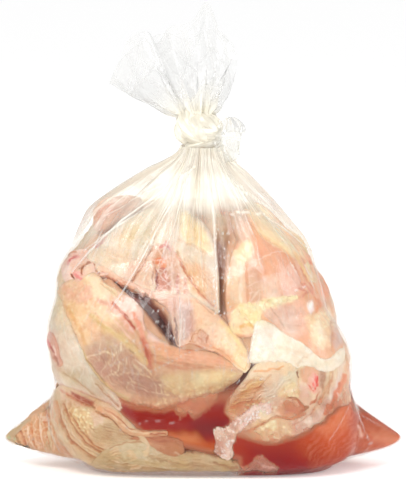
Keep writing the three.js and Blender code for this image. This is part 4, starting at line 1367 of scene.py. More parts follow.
band(
    "pale_skin_down_the_left",
    upper=[(55, 284), (62, 312), (70, 334), (80, 352), (86, 366), (98, 384), (110, 392), (117, 399),
           (122, 409)],
    lower=[(46, 296), (40, 330), (44, 352), (49, 374), (56, 386), (70, 390), (86, 397), (104, 403),
           (121, 411)],
    tissue=skin, ground="e9d9c6", marks=side_skin_colours, grooves=side_skin_folds, size=(130, 220),
    roundness=(4, 4), thick=12, rough=0.8,
)

edge_joint_colours = [
    stroke("d4574a", [(45, 337, 2.6), (49, 343, 2.6), (51, 348, 1.6)], strength=1),
    stroke("eeb4a6", [(44, 334, 1.4), (49, 334, 1.6)]),
    stroke("b0543f", [(51, 347, 1.6), (53, 352, 1.4)]),
    stroke("f3dcca", [(54, 346, 1.4), (56, 354, 1.4)]),
    stroke("b9714f", [(55, 357, 1.6), (58, 365, 1.6)]),
    stroke("e7c0a8", [(51, 356, 1.6), (55, 364, 1.6)]),
]
lump(
    "joint_at_the_left_edge",
    middle=(51, 350),
    outline=[(43, 338, 4), (46, 332, 4), (51, 333, 4), (55, 342, 4), (57, 353, 4), (60, 363, 3),
             (57, 368, 3), (52, 362, 4), (48, 352, 4), (44, 345, 4)],
    tissue=bone, ground="dcab92", marks=edge_joint_colours, size=(90, 40), rough=0.8, proud=1.0,
)

# %% Folded skin at the lower left
yellow_bumps = [(68, 406), (90, 408), (94, 430), (78, 436), (68, 420)]
long_folds = [(46, 402), (72, 400), (104, 448), (150, 462), (146, 478), (74, 476), (44, 446)]
inner_fold = [(92, 428), (110, 422), (140, 440), (108, 450)]
folded_skin_colours = [
    wash("e9c8aa", [(56, 388), (72, 390), (86, 404), (76, 412), (60, 402)], 4),
    wash("e9cb9c", [(68, 406), (84, 408), (92, 424), (86, 438), (74, 430), (66, 416)], 4),
    stroke("d6a778", [(78, 418, 1.4), (84, 430, 1.4), (88, 440, 1.2)]),
    wash("ab5540", [(70, 392), (82, 396), (94, 402), (92, 407), (80, 402), (70, 396)], 2, 0.95),
    stroke("dc8f74", [(60, 390, 2), (72, 398, 2), (88, 407, 2)], strength=0.7),
    wash("e6c6b0", [(90, 412), (104, 412), (102, 424), (94, 427)], 2),
    wash("e0a983", [(92, 404), (108, 408), (120, 418), (128, 428), (120, 430), (108, 418), (94, 411)], 3),
    wash("cfb48e", [(92, 428), (110, 420), (126, 430), (140, 440), (124, 442), (106, 446), (94, 440)], 4),
    stroke("b98a5e", [(98, 414, 1), (112, 420, 1.2), (122, 430, 1.2), (134, 438, 1)]),
    stroke("e8d3b4", [(50, 404, 2.4), (54, 426, 2.6), (64, 446, 2.6), (84, 462, 2.6), (112, 471, 2.4)],
           soft=0.9),
    stroke("ecd8ba", [(60, 408, 2), (66, 428, 2.4), (80, 446, 2.4), (100, 458, 2.4), (128, 466, 2.2)],
           soft=0.9),
    stroke("e9d4b2", [(70, 424, 2), (82, 440, 2.2), (96, 450, 2)], soft=0.9),
    stroke("c88f64", [(47, 404, 1), (49, 424, 1.2), (56, 444, 1.2), (72, 460, 1.2), (96, 471, 1)]),
    stroke("cb9468", [(55, 402, 1), (59, 422, 1.2), (70, 442, 1.2), (90, 458, 1.2), (118, 469, 1)]),
    stroke("cd976c", [(62, 404, 1), (70, 424, 1.2), (84, 443, 1.2), (102, 454, 1)]),
    stroke("d09c72", [(68, 412, 0.9), (80, 432, 1), (94, 446, 1), (106, 452, 0.9)]),
    stroke("d7a67e", [(52, 440, 0.9), (64, 456, 1), (84, 468, 0.9)], strength=0.8),
    stroke("dba27c", [(46, 446, 2.4), (56, 462, 2.4), (72, 472, 2)], soft=1, strength=0.8),
    dabs("f4e0b4", yellow_bumps, 4, 1.7, 0.7, 3),
    fibres("bd8a62", long_folds, (105, 415), 4, 0.5),
    fibres("b48458", inner_fold, (60, 700), 3, 0.4),
    web("f2ddc2", [(56, 388), (90, 402), (120, 420), (100, 428), (66, 408)], 9, 0.5, 0.5, 5),
]
folded_skin_folds = [
    groove(1.6, [(47, 404, 2), (49, 424, 2.2), (56, 444, 2.2), (72, 460, 2.2), (96, 471, 2)]),
    groove(1.6, [(55, 402, 2), (59, 422, 2.2), (70, 442, 2.2), (90, 458, 2.2), (118, 469, 2)]),
    groove(1.4, [(62, 404, 2), (70, 424, 2.2), (84, 443, 2.2), (104, 455, 2)]),
    groove(1.2, [(68, 412, 1.8), (80, 432, 2), (94, 446, 2), (108, 453, 1.8)]),
    groove(1.6, [(96, 412, 2), (112, 419, 2.4), (124, 432, 2.4), (138, 439, 2)]),
    groove(1.4, [(66, 396, 2), (80, 403, 2.2), (94, 408, 2)]),
    pleats(0.8, long_folds, (105, 415), 5),
    bumps(0.7, yellow_bumps, 4, 2, 3),
    pleats(0.4, inner_fold, (60, 700), 3.4),
]
lump(
    "folded_skin_at_the_left",
    middle=(88, 436),
    outline=[(50, 396, 3), (57, 386, 3), (68, 388, 3), (80, 394, 3), (92, 400, 2.4), (104, 404, 2.4),
             (114, 409, 2.4), (124, 418, 2.4), (134, 428, 2.4), (146, 440, 2.4), (150, 450, 3),
             (146, 462, 3.6), (140, 477, 3.6), (100, 477, 3.6), (78, 472, 3.6), (60, 466, 3.6),
             (46, 462, 3.6), (44, 440, 3.6), (46, 416, 3.6)],
    tissue=skin, ground="e2c6a2", marks=folded_skin_colours, grooves=folded_skin_folds, size=(420, 140),
    rough=0.9,
)

tongue_colours = [
    stroke("efd0ac", [(112, 414, 1.4), (124, 427, 1.6), (138, 433, 1.6), (156, 434, 1.2)]),
    stroke("c8825c", [(104, 409, 1), (118, 417, 1.2), (128, 428, 1), (150, 432, 0.9)]),
    stroke("bf7450", [(150, 435, 1.6), (166, 434, 1.6)]),
]
band(
    "tongue_of_skin_over_the_juice",
    upper=[(96, 405), (108, 408), (118, 414), (126, 424), (136, 430), (150, 432), (168, 432)],
    lower=[(96, 411), (106, 415), (115, 422), (122, 431), (133, 436), (148, 437), (168, 435)],
    tissue=skin, ground="e0b28c", marks=tongue_colours, size=(70, 180), roundness=(2.4, 2.4), thick=6,
    proud=0.5, rough=0.8,
)

whole_sheet = [(100, 458), (140, 446), (240, 468), (240, 478), (100, 478)]
lower_sheet_colours = [
    wash("dac7a8", [(108, 450), (128, 443), (146, 446), (166, 458), (150, 464), (120, 460)], 4),
    wash("c9ad88", [(100, 464), (130, 466), (170, 470), (210, 470), (200, 478), (110, 478)], 4),
    stroke("c49672", [(110, 449, 1), (126, 443, 1.1), (142, 443, 1)]),
    stroke("dfcdb0", [(118, 462, 1.6), (140, 468, 1.8), (176, 470, 1.6)], strength=0.8),
    stroke("d9bd9a", [(176, 461, 2.4), (200, 462, 2.6), (214, 466, 2)]),
    stroke("b98a66", [(214, 464, 2), (226, 468, 2.4), (238, 470, 2)]),
    stroke("b3946e", [(150, 460, 0.8), (176, 466, 0.9), (206, 468, 0.8)], strength=0.6),
    fibres("b08c64", whole_sheet, (160, 1100), 3.4, 0.45),
    web("e6d6ba", [(104, 452), (140, 444), (180, 460), (160, 468), (110, 464)], 12, 0.5, 0.5, 3),
]
lower_sheet_folds = [
    groove(0.9, [(108, 462, 2), (134, 468, 2.4), (170, 472, 2)]),
    groove(0.7, [(150, 458, 2), (180, 466, 2.4), (212, 468, 2)]),
    pleats(0.45, whole_sheet, (160, 1100), 4),
]
band(
    "pale_sheet_of_skin",
    upper=[(94, 462), (104, 451), (116, 444), (130, 441), (142, 442), (150, 447), (160, 453), (171, 458),
           (186, 456), (202, 456), (214, 460), (226, 462), (240, 467)],
    lower=[(94, 472), (104, 478), (120, 478), (134, 478), (146, 478), (158, 478), (168, 478), (180, 478),
           (192, 478), (204, 478), (216, 478), (228, 478), (241, 476)],
    tissue=skin, ground="d1b792", marks=lower_sheet_colours, grooves=lower_sheet_folds, size=(120, 260),
    roundness=(3, 5), thick=8, proud=0.3, rough=0.9, ragged=(0.4, 0),
)

orange_sheet_colours = [
    stroke("d3a07e", [(144, 443, 3), (164, 449, 3)]),
    stroke("b06e50", [(150, 440, 1.4), (168, 443, 1.4)]),
    stroke("d8b49c", [(174, 454, 2), (180, 457, 2)]),
]
band(
    "sheet_of_skin_in_the_juice",
    upper=[(128, 440), (142, 437), (156, 437), (168, 438), (178, 440), (184, 444)],
    lower=[(134, 446), (146, 450), (156, 456), (168, 462), (178, 460), (185, 452)],
    tissue=skin, ground="c68b68", marks=orange_sheet_colours, size=(80, 120), roundness=(2, 2), thick=6,
    proud=-0.4, rough=0.9,
)

corner_skin_colours = [
    wash("c9c4a0", [(2, 438), (12, 433), (16, 440), (12, 444), (4, 440)], 3, 1),
    stroke("b98a62", [(13, 433, 1.2), (16, 440, 1.4), (22, 448, 1.2)]),
    stroke("cf9068", [(18, 430, 2), (22, 438, 2.4), (24, 446, 2)]),
    stroke("f3d6bc", [(26, 428, 1.2), (28, 440, 1.4), (34, 450, 1.2)]),
    stroke("f0cba8", [(32, 424, 1.4), (34, 436, 1.6), (38, 450, 1.4)]),
    stroke("f5dcc6", [(38, 416, 1.2), (39, 430, 1.4), (42, 446, 1.2)]),
    stroke("d99a6e", [(30, 424, 1), (31, 438, 1.1), (36, 452, 1)]),
    stroke("d8966a", [(44, 406, 2), (44, 424, 2.2), (48, 446, 2)]),
    stroke("f0d4b6", [(50, 404, 1.6), (50, 426, 1.8), (54, 450, 1.6)]),
    stroke("c68256", [(47, 406, 0.9), (47, 426, 1), (51, 448, 1)]),
    stroke("e9c39e", [(42, 446, 2), (50, 456, 2)]),
    web("f8e2cc", [(22, 426), (44, 408), (52, 430), (46, 454), (26, 446)], 7, 0.6, 0.6, 3),
    dabs("c9804e", [(16, 432), (44, 408), (54, 430), (46, 456), (22, 446)], 5, 1.6, 0.5, 4),
]
corner_skin_folds = [
    groove(1.2, [(18, 430, 1.6), (22, 440, 1.8), (26, 449, 1.6)]),
    groove(1.0, [(31, 422, 1.6), (31, 438, 1.8), (36, 452, 1.6)]),
    groove(1.2, [(47, 404, 1.8), (46, 424, 2), (50, 450, 1.8)]),
    groove(0.8, [(37, 414, 1.6), (37, 432, 1.8), (42, 450, 1.6)]),
    pleats(0.7, [(14, 434), (44, 406), (56, 430), (50, 458), (20, 446)], (320, 470), 3.6),
]
lump(
    "skin_in_the_left_corner",
    middle=(36, 436),
    outline=[(2, 437, 1), (8, 430, 1), (16, 423, 1), (26, 414, 1), (36, 405, 1.5), (46, 394, 2),
             (54, 400, 3), (56, 420, 3), (58, 444, 3), (58, 463, 3), (46, 459, 2.4), (34, 453, 2.4),
             (22, 448, 1.8), (12, 443, 1.8), (6, 440, 1.2)],
    tissue=skin, ground="e3b48e", marks=corner_skin_colours, grooves=corner_skin_folds, size=(260, 110),
    rough=1.0,
)

# %% [markdown]
# ## The back
# The photograph doesn't show the back, so it is guessed: more of the same breasts lie there, and a
# wing folded across them. They are drawn over the view from straight behind, with the same
# kinds of marks as in front, so that the bag looks like one thing from every side.

# %% The pieces at the back
back_fat = [(204, 212), (262, 198), (312, 222), (300, 250), (230, 244)]
back_muscle = [(184, 306), (240, 326), (300, 344), (344, 336), (330, 374), (262, 374)]
back_breast_right_colours = [
    wash("f6deaa", [(204, 212), (262, 198), (312, 222), (304, 250), (240, 244), (204, 238)], 8),
    wash("f6e6d0", [(170, 250), (220, 246), (290, 262), (330, 300), (290, 318), (220, 300), (172, 282)], 9),
    wash("e8b89c", [(184, 306), (240, 326), (300, 344), (344, 336), (330, 374), (262, 374), (198, 346)], 9),
    wash("f2d6b4", [(300, 230), (340, 260), (354, 320), (330, 330), (306, 280)], 8),
    stroke("fbecd4", [(176, 256, 2), (226, 282, 3), (292, 312, 3), (344, 330, 2)]),
    stroke("d99a7c", [(190, 320, 1.4), (240, 344, 1.8), (300, 364, 1.4)]),
    stroke("c9755e", [(236, 336, 1.6), (262, 346, 2.4), (286, 350, 1.6)]),
    stroke("e5a98c", [(262, 224, 1.4), (290, 240, 1.6), (318, 270, 1.4)]),
    web("fbeede", [(176, 250), (240, 220), (320, 250), (350, 320), (300, 360), (220, 330)], 20, 0.5, 0.5,
        11),
    web("f8e0d0", [(184, 306), (250, 330), (330, 340), (320, 374), (240, 370)], 10, 0.5, 0.5, 12),
    dabs("f3cd8e", back_fat, 7, 1.6, 0.5, 13),
    fibres("d79c7c", back_muscle, (100, 760), 3.4, 0.45),
]
back_breast_right_folds = [
    groove(1.6, [(180, 296, 2), (236, 322, 2.6), (306, 340, 2.4), (350, 336, 2)]),
    groove(1.0, [(262, 224, 2), (290, 240, 2.4), (320, 272, 2)]),
    pleats(0.5, back_muscle, (100, 760), 5),
    bumps(0.4, back_fat, 6, 2.6, 13),
]
lump(
    "breast_at_the_back_right",
    middle=(256, 292),
    outline=[(150, 264, 3), (166, 238, 8), (194, 216, 12), (230, 205, 12), (268, 204, 12), (306, 216, 10),
             (344, 248, 8), (360, 292, 8), (363, 336, 7), (350, 366, 5), (322, 384, 4), (284, 390, 4),
             (244, 378, 4), (206, 358, 3), (172, 332, 3), (152, 298, 3)],
    tissue=skin, ground="edd5b8", marks=back_breast_right_colours, grooves=back_breast_right_folds,
    azimuth=180, size=(240, 110), rough=1.6, seed=21,
)
back_left_muscle = [(84, 286), (120, 256), (146, 270), (146, 310), (112, 330), (84, 320)]
back_breast_left_colours = [
    wash("f7dfb2", [(60, 262), (104, 214), (140, 200), (150, 226), (110, 250), (78, 286)], 8),
    wash("e9b08e", back_left_muscle, 8),
    wash("f3d8c0", [(46, 300), (74, 300), (84, 346), (60, 356), (44, 330)], 6),
    stroke("cf7f62", [(120, 250, 1.4), (128, 284, 2), (120, 322, 1.6)]),
    stroke("f9e6d2", [(92, 252, 1.6), (104, 290, 2), (104, 334, 1.6)]),
    web("f6e2cc", [(78, 290), (120, 256), (148, 280), (146, 326), (100, 344)], 11, 0.5, 0.5, 14),
    dabs("fbe9be", [(60, 262), (104, 214), (140, 200), (150, 226), (100, 256)], 6, 1.7, 0.5, 15),
    fibres("c98f6e", back_left_muscle, (700, 250), 3.2, 0.45),
]
back_breast_left_folds = [
    groove(1.2, [(118, 248, 2), (127, 284, 2.4), (118, 326, 2)]),
    pleats(0.4, back_left_muscle, (700, 250), 4.6),
]
lump(
    "breast_at_the_back_left",
    middle=(98, 286),
    outline=[(42, 334, 6), (38, 298, 8), (50, 268, 8), (78, 242, 10), (108, 224, 12), (142, 210, 12),
             (170, 208, 8), (180, 216, 3), (166, 238, 3), (150, 264, 3), (151, 298, 3), (168, 332, 3),
             (140, 352, 4), (96, 368, 5), (60, 362, 5)],
    tissue=meat, ground="edc6a6", marks=back_breast_left_colours, grooves=back_breast_left_folds,
    azimuth=180, size=(240, 110), rough=1.4, seed=22,
)
back_wing_skin = [(100, 380), (170, 362), (240, 392), (240, 430), (130, 430)]
back_wing_fat = [(100, 378), (150, 362), (180, 372), (150, 402), (110, 402)]
back_wing_colours = [
    wash("f1dcae", [(100, 378), (150, 362), (180, 372), (168, 398), (124, 404), (98, 396)], 6),
    wash("dcb898", [(176, 366), (210, 372), (240, 392), (244, 412), (206, 404), (180, 392)], 5),
    wash("e9c0a0", [(120, 420), (180, 416), (230, 424), (206, 438), (150, 438)], 6),
    stroke("b47c58", [(160, 396, 1.4), (196, 404, 1.8), (236, 418, 1.4)]),
    stroke("c98d68", [(110, 404, 1.2), (130, 416, 1.4), (160, 418, 1.2)]),
    stroke("f6e6c8", [(178, 372, 1.6), (206, 386, 2), (236, 404, 1.6)]),
    web("f6e6cc", [(96, 380), (170, 350), (250, 400), (226, 438), (120, 436)], 12, 0.5, 0.45, 16),
    fibres("c08c64", back_wing_skin, (240, -240), 4, 0.45),
    dabs("f7e6bd", back_wing_fat, 5, 1.7, 0.5, 17),
]
back_wing_folds = [
    groove(2.0, [(158, 396, 2.4), (196, 404, 3), (238, 420, 2.4)]),
    groove(1.4, [(108, 402, 2), (132, 416, 2.4), (166, 420, 2)]),
    pleats(0.8, back_wing_skin, (240, -240), 5.5),
    bumps(0.5, back_wing_fat, 5, 2.4, 17),
]
lump(
    "wing_at_the_back",
    middle=(170, 402),
    outline=[(80, 388, 5), (92, 370, 4), (140, 354, 4), (170, 336, 3), (206, 360, 3), (244, 380, 4),
             (268, 404, 6), (258, 428, 7), (226, 442, 7), (186, 450, 8), (146, 446, 8), (106, 434, 7),
             (84, 412, 6)],
    tissue=skin, ground="e6c9a2", marks=back_wing_colours, grooves=back_wing_folds, azimuth=180,
    size=(240, 100), rough=1.6, seed=23,
)
loose_left_skin = [(52, 440), (74, 384), (104, 426), (140, 446), (140, 476), (60, 466)]
back_skin_left_colours = [
    fibres("b98560", loose_left_skin, (140, 380), 4.5, 0.5),
    dabs("f2dfb6", [(60, 400), (80, 396), (100, 430), (70, 440)], 5, 1.7, 0.5, 18),
]
band(
    "loose_skin_at_the_back_left",
    upper=[(52, 440), (56, 418), (62, 396), (74, 378), (84, 400), (104, 426), (140, 446)],
    lower=[(50, 448), (56, 462), (66, 470), (88, 476), (108, 477), (124, 477), (142, 474)],
    tissue=skin, ground="e0c5a0", marks=back_skin_left_colours,
    grooves=[pleats(0.8, loose_left_skin, (140, 380), 5)], azimuth=180, size=(110, 170), roundness=(3, 5),
    thick=12, rough=1.2, seed=24,
)
loose_right_skin = [(270, 410), (350, 380), (380, 424), (350, 466), (270, 474)]
back_skin_right_colours = [
    fibres("b97f5c", loose_right_skin, (250, 330), 5, 0.5),
    wash("e3a685", [(290, 430), (330, 420), (350, 440), (320, 460), (290, 452)], 8, 0.7),
    web("f3dcc2", loose_right_skin, 13, 0.5, 0.5, 19),
]
band(
    "loose_skin_at_the_back_right",
    upper=[(266, 438), (270, 408), (290, 394), (324, 388), (350, 374), (362, 396), (380, 420)],
    lower=[(262, 474), (284, 477), (310, 477), (332, 474), (350, 466), (366, 456), (382, 444)],
    tissue=skin, ground="dfbd98", marks=back_skin_right_colours,
    grooves=[pleats(0.8, loose_right_skin, (250, 330), 6)], azimuth=180, size=(110, 170), roundness=(3, 5),
    thick=12, rough=1.2, seed=25,
)

# %% [markdown]
# ## The juice
# Juice stands in the bottom of the bag and fills every space between meat and film. It is cloudy:
# a thin layer tints what is behind it and a thick one hides it. So a ray from each point of its
# side measures how deep the juice is to the meat behind. The point carries how much that hides, and
# the shader mixes clear and cloudy by it. A volume shader could do this too, but it takes far longer
# and leaves grain in the picture.

# %% The juice's colours
juice_colours = [
    wash("a23a22", [(110, 398), (200, 400), (236, 376), (262, 362), (250, 400), (240, 430), (200, 440),
                    (120, 425)], 8),
    wash("c2704c", [(230, 370), (250, 366), (250, 392), (236, 400), (222, 396)], 7, 0.8),
    wash("8c2c18", [(190, 422), (228, 420), (232, 436), (196, 438)], 7, 0.9),
    wash("d98a5c", [(160, 434), (196, 434), (206, 446), (180, 450)], 6, 0.95),
    wash("c66438", [(180, 442), (216, 444), (222, 462), (192, 462)], 6, 0.9),
    wash("ad4229", [(238, 440), (300, 436), (340, 440), (330, 478), (238, 478)], 14),
    wash("98301c", [(250, 450), (290, 454), (310, 464), (310, 480), (250, 480)], 10, 0.8),
    wash("d8663e", [(304, 442), (330, 416), (348, 398), (362, 410), (356, 444), (330, 456)], 20, 0.95),
    wash("ea8f64", [(316, 430), (338, 410), (350, 404), (346, 424), (328, 436)], 9, 0.9),
    wash("c2604a", [(350, 404), (358, 406), (362, 430), (354, 432)], 4, 0.8),
    wash("cc7256", [(356, 420), (374, 414), (400, 430), (412, 440), (396, 452), (368, 462), (354, 450)], 7),
    wash("d98f70", [(370, 430), (392, 432), (404, 440), (390, 446), (372, 440)], 5, 0.8),
    stroke("f0c4b0", [(358, 426, 2.5), (362, 436, 3)], soft=1),
    fibres("f0ab8c", [(300, 440), (350, 404), (400, 436), (360, 466), (310, 470)], (560, 640), 5, 0.3),
]
skin_against_film = [(-20, 380), (60, 380), (110, 405), (150, 438), (240, 458), (240, 500), (-20, 500)]


def juice_material():
    """Cloudy where it is deep, and clear where it is a thin film over the meat."""
    material, tree, shader = new_material("cloudy juice")
    cloud = scaled(tree, noisy(tree, 28, 3, 1.0), 0.3, 0.7, 0, 1)
    clouds = mixed(tree, (0.86, 0.8, 0.78, 1), WHITE, cloud)
    base = mixed(tree, attribute(tree, "tint", "Color"), clouds, 1.0, "MULTIPLY")
    tree.links.new(base, shader.inputs["Base Color"])
    tree.links.new(bumped(tree, noisy(tree, 40, 2), 0.001, 0.3), shader.inputs["Normal"])
    settle(shader, {"Roughness": 0.3, "Specular IOR Level": 0.05, "Subsurface Weight": 0.5,
                    "Subsurface Radius": (1.0, 0.25, 0.15), "Subsurface Scale": 0.006})
    clear = tree.nodes.new("ShaderNodeBsdfTransparent")
    both = blended(tree, attribute(tree, "cover"), clear.outputs[0], shader.outputs[0])
    tree.links.new(both, tree.nodes["Material Output"].inputs["Surface"])
    return material


# %% The juice's body
JUICE_TOP = 0.083
CLOUDING = 0.0022  # juice this deep hides about two thirds of what lies behind it
SIGHT = 0.06  # nothing further in is looked for
STEP_BACK = 0.002  # a ray starts this far outside the juice


def depth_of_juice(place, inward, picked):
    """How deep the juice is, from some of its points inwards to the nearest piece."""
    corners, faces = [], []
    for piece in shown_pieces():
        if piece.get("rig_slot") in ("skin", "meat", "fat", "bone"):
            start = len(corners)
            corners += [v.co.copy() for v in piece.data.vertices]
            faces += [[start + i for i in p.vertices] for p in piece.data.polygons]
    behind = BVHTree.FromPolygons(corners, faces)
    deep = np.zeros(len(place))
    for i in np.nonzero(picked)[0]:
        way = Vector(inward[i])
        hit = behind.ray_cast(Vector(place[i]) - way * STEP_BACK, way, SIGHT)
        deep[i] = max(hit[3] - STEP_BACK, 0) if hit[0] else SIGHT
    return deep


def make_juice():
    """A closed body just inside the film. Its top is level."""
    bm, turn, share = ball(480, 110)
    rim, foot = 0.22, 0.8  # shares of the ball that make the level top and the flat base
    out = np.clip(np.minimum(share / rim, (1 - share) / (1 - foot)), 0, 1)
    height = LOWEST + (JUICE_TOP - LOWEST) * np.clip((foot - share) / (foot - rim), 0, 1)
    place = on_bag(turn, height, 0.0015)
    place[:, :2] *= out[:, None]
    place[share <= rim, 2] = JUICE_TOP
    place[share >= foot, 2] = LOWEST
    side = (share > rim) & (share < foot)
    deep = depth_of_juice(place, -read_table(normal_table, turn, height), side)
    cover = np.where(side, 1 - np.exp(-deep / CLOUDING), 1)
    px, py = pixels(place)
    front = smooth(-place[:, 1], -0.02, 0.01)
    cover = cover * smooth(JUICE_TOP - height, 0.0, 0.03)
    cover = cover * (1 - 0.85 * front * patch(skin_against_film, 6)(px, py))
    cover = cover * (1 - 0.95 * (1 - smooth(px, 22, 50)))
    tint = paint(px, py, "b2452c", juice_colours, veil=0.035)
    thick = smooth(cover, 0.5, 0.99)[:, None]
    tint = tint * thick + colour("dd8a62") * (1 - thick)
    return finish_piece("juice", bm, place, juice_material(), "juice", tint, {"cover": cover})


make_juice()

# %% [markdown]
# ## The film
# The sack is one thin sheet, so it has no thickness here. It is a grid wrapped round the bag, with
# pleats that the knot gathers and creases where the film was pulled. A cloth simulation could pull
# it tight, but a wrapped grid keeps to the imported form. The film is clear where it lies on the meat.
# It whitens where it is folded, so each point carries how hazy it is, and how strongly the ropes of
# film show that run up to the knot. Its haze also holds painted highlights on creases and drops, and
# painted reflection where slack film stands off the meat.

# %% Lines and facets along the film
def along_film(tree, across, along, turned=0.0):
    """The film's own map, stretched to so many cells across and along it."""
    stretch = tree.nodes.new("ShaderNodeMapping")
    settle(stretch, {"Scale": (across, along, 1), "Rotation": (0, 0, turned)})
    tree.links.new(tree.nodes.new("ShaderNodeUVMap").outputs[0], stretch.inputs["Vector"])
    return stretch.outputs[0]


def streaks(tree, where, detail, distortion):
    """Noise on a stretched map, which comes out as lines."""
    node = tree.nodes.new("ShaderNodeTexNoise")
    settle(node, {"Scale": 1.0, "Detail": detail, "Distortion": distortion})
    tree.links.new(where, node.inputs["Vector"])
    return node.outputs[0]


def facets(tree, where, whiter, edge):
    """Crumpled film: flat facets, each a little more or less white, with creases between them: painted light
    and shade of film turned different ways.
    """
    cells, edges = (tree.nodes.new("ShaderNodeTexVoronoi") for _ in range(2))
    edges.feature = "DISTANCE_TO_EDGE"
    for node in (cells, edges):
        node.inputs["Scale"].default_value = 1
        tree.links.new(where, node.inputs["Vector"])
    from_crease = edges.outputs["Distance"]
    panels = scaled(tree, cells.outputs["Color"], 0.2, 0.8, 0, whiter)
    return total(tree, panels, scaled(tree, from_crease, 0, 0.05, edge, 0)), from_crease


# %% Film material
CREAM = (0.96, 0.905, 0.765, 1)  # the film's colour where many layers of it lie together


def film_material(name, body, haze_colour, lines, roughness=0.14, rope_depth=0.0009, crumple=None,
                  through=0.0, scratches=0.22):
    """body: how much of smooth film shows. lines: how fine the gathers are across and along the film.
    crumple: how many facets across and along, how white they are and how white their creases.
    through: the share of light that the white parts pass on. scratches: how white they are."""
    material, tree, shader = new_material(name)
    settle(shader, {"Roughness": 0.5, "Specular IOR Level": 0.2})
    gather = attribute(tree, "gather")
    ropes = scaled(tree, streaks(tree, along_film(tree, *lines), 4, 0.4), 0.50, 0.64, 0, 1)
    rope = product(tree, ropes, gather)
    finer = along_film(tree, lines[0] * 2.6, lines[1] * 2.2, turned=0.02)
    scratch = scaled(tree, streaks(tree, finer, 5, 1.2), 0.60, 0.72, 0, scratches)
    worn = product(tree, scratch, scaled(tree, gather, 0, 0.06, 0, 1))
    white_parts = total(tree, attribute(tree, "haze"), worn)
    relief = bumped(tree, noisy(tree, 50, 3, 1.5), 0.002, 0.5)
    relief = bumped(tree, noisy(tree, 150, 3, 0.8), 0.0005, 0.3, relief)
    relief = bumped(tree, rope, rope_depth, 0.8, relief)
    if crumple:
        across, along, whiter, edge = crumple
        panels, from_crease = facets(tree, along_film(tree, across, along), whiter, edge)
        white_parts = total(tree, white_parts, panels)
        relief = bumped(tree, scaled(tree, from_crease, 0, 0.3, 0, 1), 0.0025, 0.7, relief)
    veil = reckoned(tree, "MULTIPLY_ADD", rope, 0.5, white_parts)
    veil.use_clamp = True
    lit_through = tree.nodes.new("ShaderNodeBsdfTranslucent")
    shade = mixed(tree, haze_colour, CREAM, gather)
    tree.links.new(shade, shader.inputs["Base Color"])
    tree.links.new(shade, lit_through.inputs["Color"])
    milky = blended(tree, through, shader.outputs[0], lit_through.outputs[0])
    clear = tree.nodes.new("ShaderNodeBsdfTransparent")
    clear.inputs["Color"].default_value = (0.99, 0.99, 0.985, 1)
    sheet = blended(tree, veil.outputs[0], clear.outputs[0], milky)
    gloss = tree.nodes.new("ShaderNodeBsdfPrincipled")
    settle(gloss, {"Base Color": WHITE, "Metallic": 1.0, "Roughness": roughness})
    grazing = tree.nodes.new("ShaderNodeFresnel")
    grazing.inputs["IOR"].default_value = 1.5
    for node in (shader, lit_through, gloss, grazing):
        tree.links.new(relief, node.inputs["Normal"])
    shine = scaled(tree, grazing.outputs[0], 0.04, 1, body, 0.5)
    film = blended(tree, shine, sheet, gloss.outputs[0])
    tree.links.new(film, tree.nodes["Material Output"].inputs["Surface"])
    return material


# Its haze is light grey rather than white: painted shade, for the darker look that folded film has against
# white.
clear_film = film_material("clear film", body=0.02, haze_colour=(0.80, 0.79, 0.76, 1), lines=(90, 5))
print(clear_film.name, "has", len(clear_film.node_tree.nodes), "nodes")

# %% Creases, haze and drops on the sack
# The white creases are partly film folded double and partly painted highlights along the folds.
creases = [  # (line on the picture with half widths, haze)
    ([(196, 166, 1), (150, 200, 1.2), (120, 222, 1.2), (88, 252, 1.2), (72, 272, 0.8)], 0.5),
    ([(192, 170, 1), (150, 205, 0.8), (100, 238, 0.9), (84, 250, 0.8)], 0.4),
    ([(190, 175, 0.8), (165, 215, 1), (140, 262, 1.5), (124, 290, 1.5), (110, 311, 0.8)], 0.42),
    ([(188, 170, 1), (184, 200, 0.8), (184, 232, 0.6)], 0.4),
    ([(170, 200, 1), (158, 222, 1), (150, 250, 1)], 0.35),
    ([(212, 205, 1.6), (216, 260, 1.6), (217, 300, 1.4), (219, 312, 1)], 0.26),
    ([(222, 180, 1), (250, 196, 0.9), (276, 212, 0.7)], 0.4),
    ([(230, 215, 0.8), (240, 212, 1), (262, 214, 1), (284, 228, 0.8), (312, 252, 0.6)], 0.45),
    ([(180, 290, 0.8), (180, 350, 0.8)], 0.25),
    ([(248, 360, 1), (256, 330, 0.8)], 0.4),
    ([(248, 362, 1), (262, 352, 0.8)], 0.3),
    ([(250, 364, 0.8), (236, 352, 0.7), (224, 336, 0.6)], 0.3),
    ([(190, 172, 0.9), (140, 196, 0.8), (104, 216, 0.7)], 0.3),
    ([(186, 180, 0.8), (176, 220, 0.8), (160, 262, 0.7), (150, 300, 0.6)], 0.28),
    ([(196, 190, 0.8), (200, 240, 0.7), (204, 290, 0.6)], 0.25),
    ([(216, 176, 0.9), (240, 204, 0.8), (256, 240, 0.7), (262, 270, 0.6)], 0.28),
    ([(224, 176, 0.9), (262, 202, 0.8), (300, 236, 0.7)], 0.3),
    ([(292, 292, 0.8), (306, 286, 0.7)], 0.45),
    ([(96, 352, 0.8), (130, 340, 0.7), (170, 352, 0.7)], 0.22),
    ([(150, 372, 0.8), (190, 352, 0.7), (230, 340, 0.6)], 0.22),
    ([(110, 366, 0.7), (150, 346, 0.6)], 0.2),
    ([(352, 398, 0.9), (362, 424, 1), (370, 444, 0.8)], 0.35),
    ([(362, 416, 0.8), (378, 424, 0.8), (396, 434, 0.6)], 0.3),
    ([(345, 476, 0.9), (358, 460, 0.9), (372, 442, 0.8)], 0.3),
    ([(330, 440, 0.7), (340, 424, 0.7), (348, 408, 0.6)], 0.25),
    ([(46, 404, 0.9), (50, 430, 0.9), (60, 452, 0.8)], 0.25),
    ([(20, 430, 0.7), (36, 440, 0.7), (50, 452, 0.6)], 0.2),
    ([(120, 430, 0.7), (150, 420, 0.6), (180, 424, 0.6)], 0.18),
]
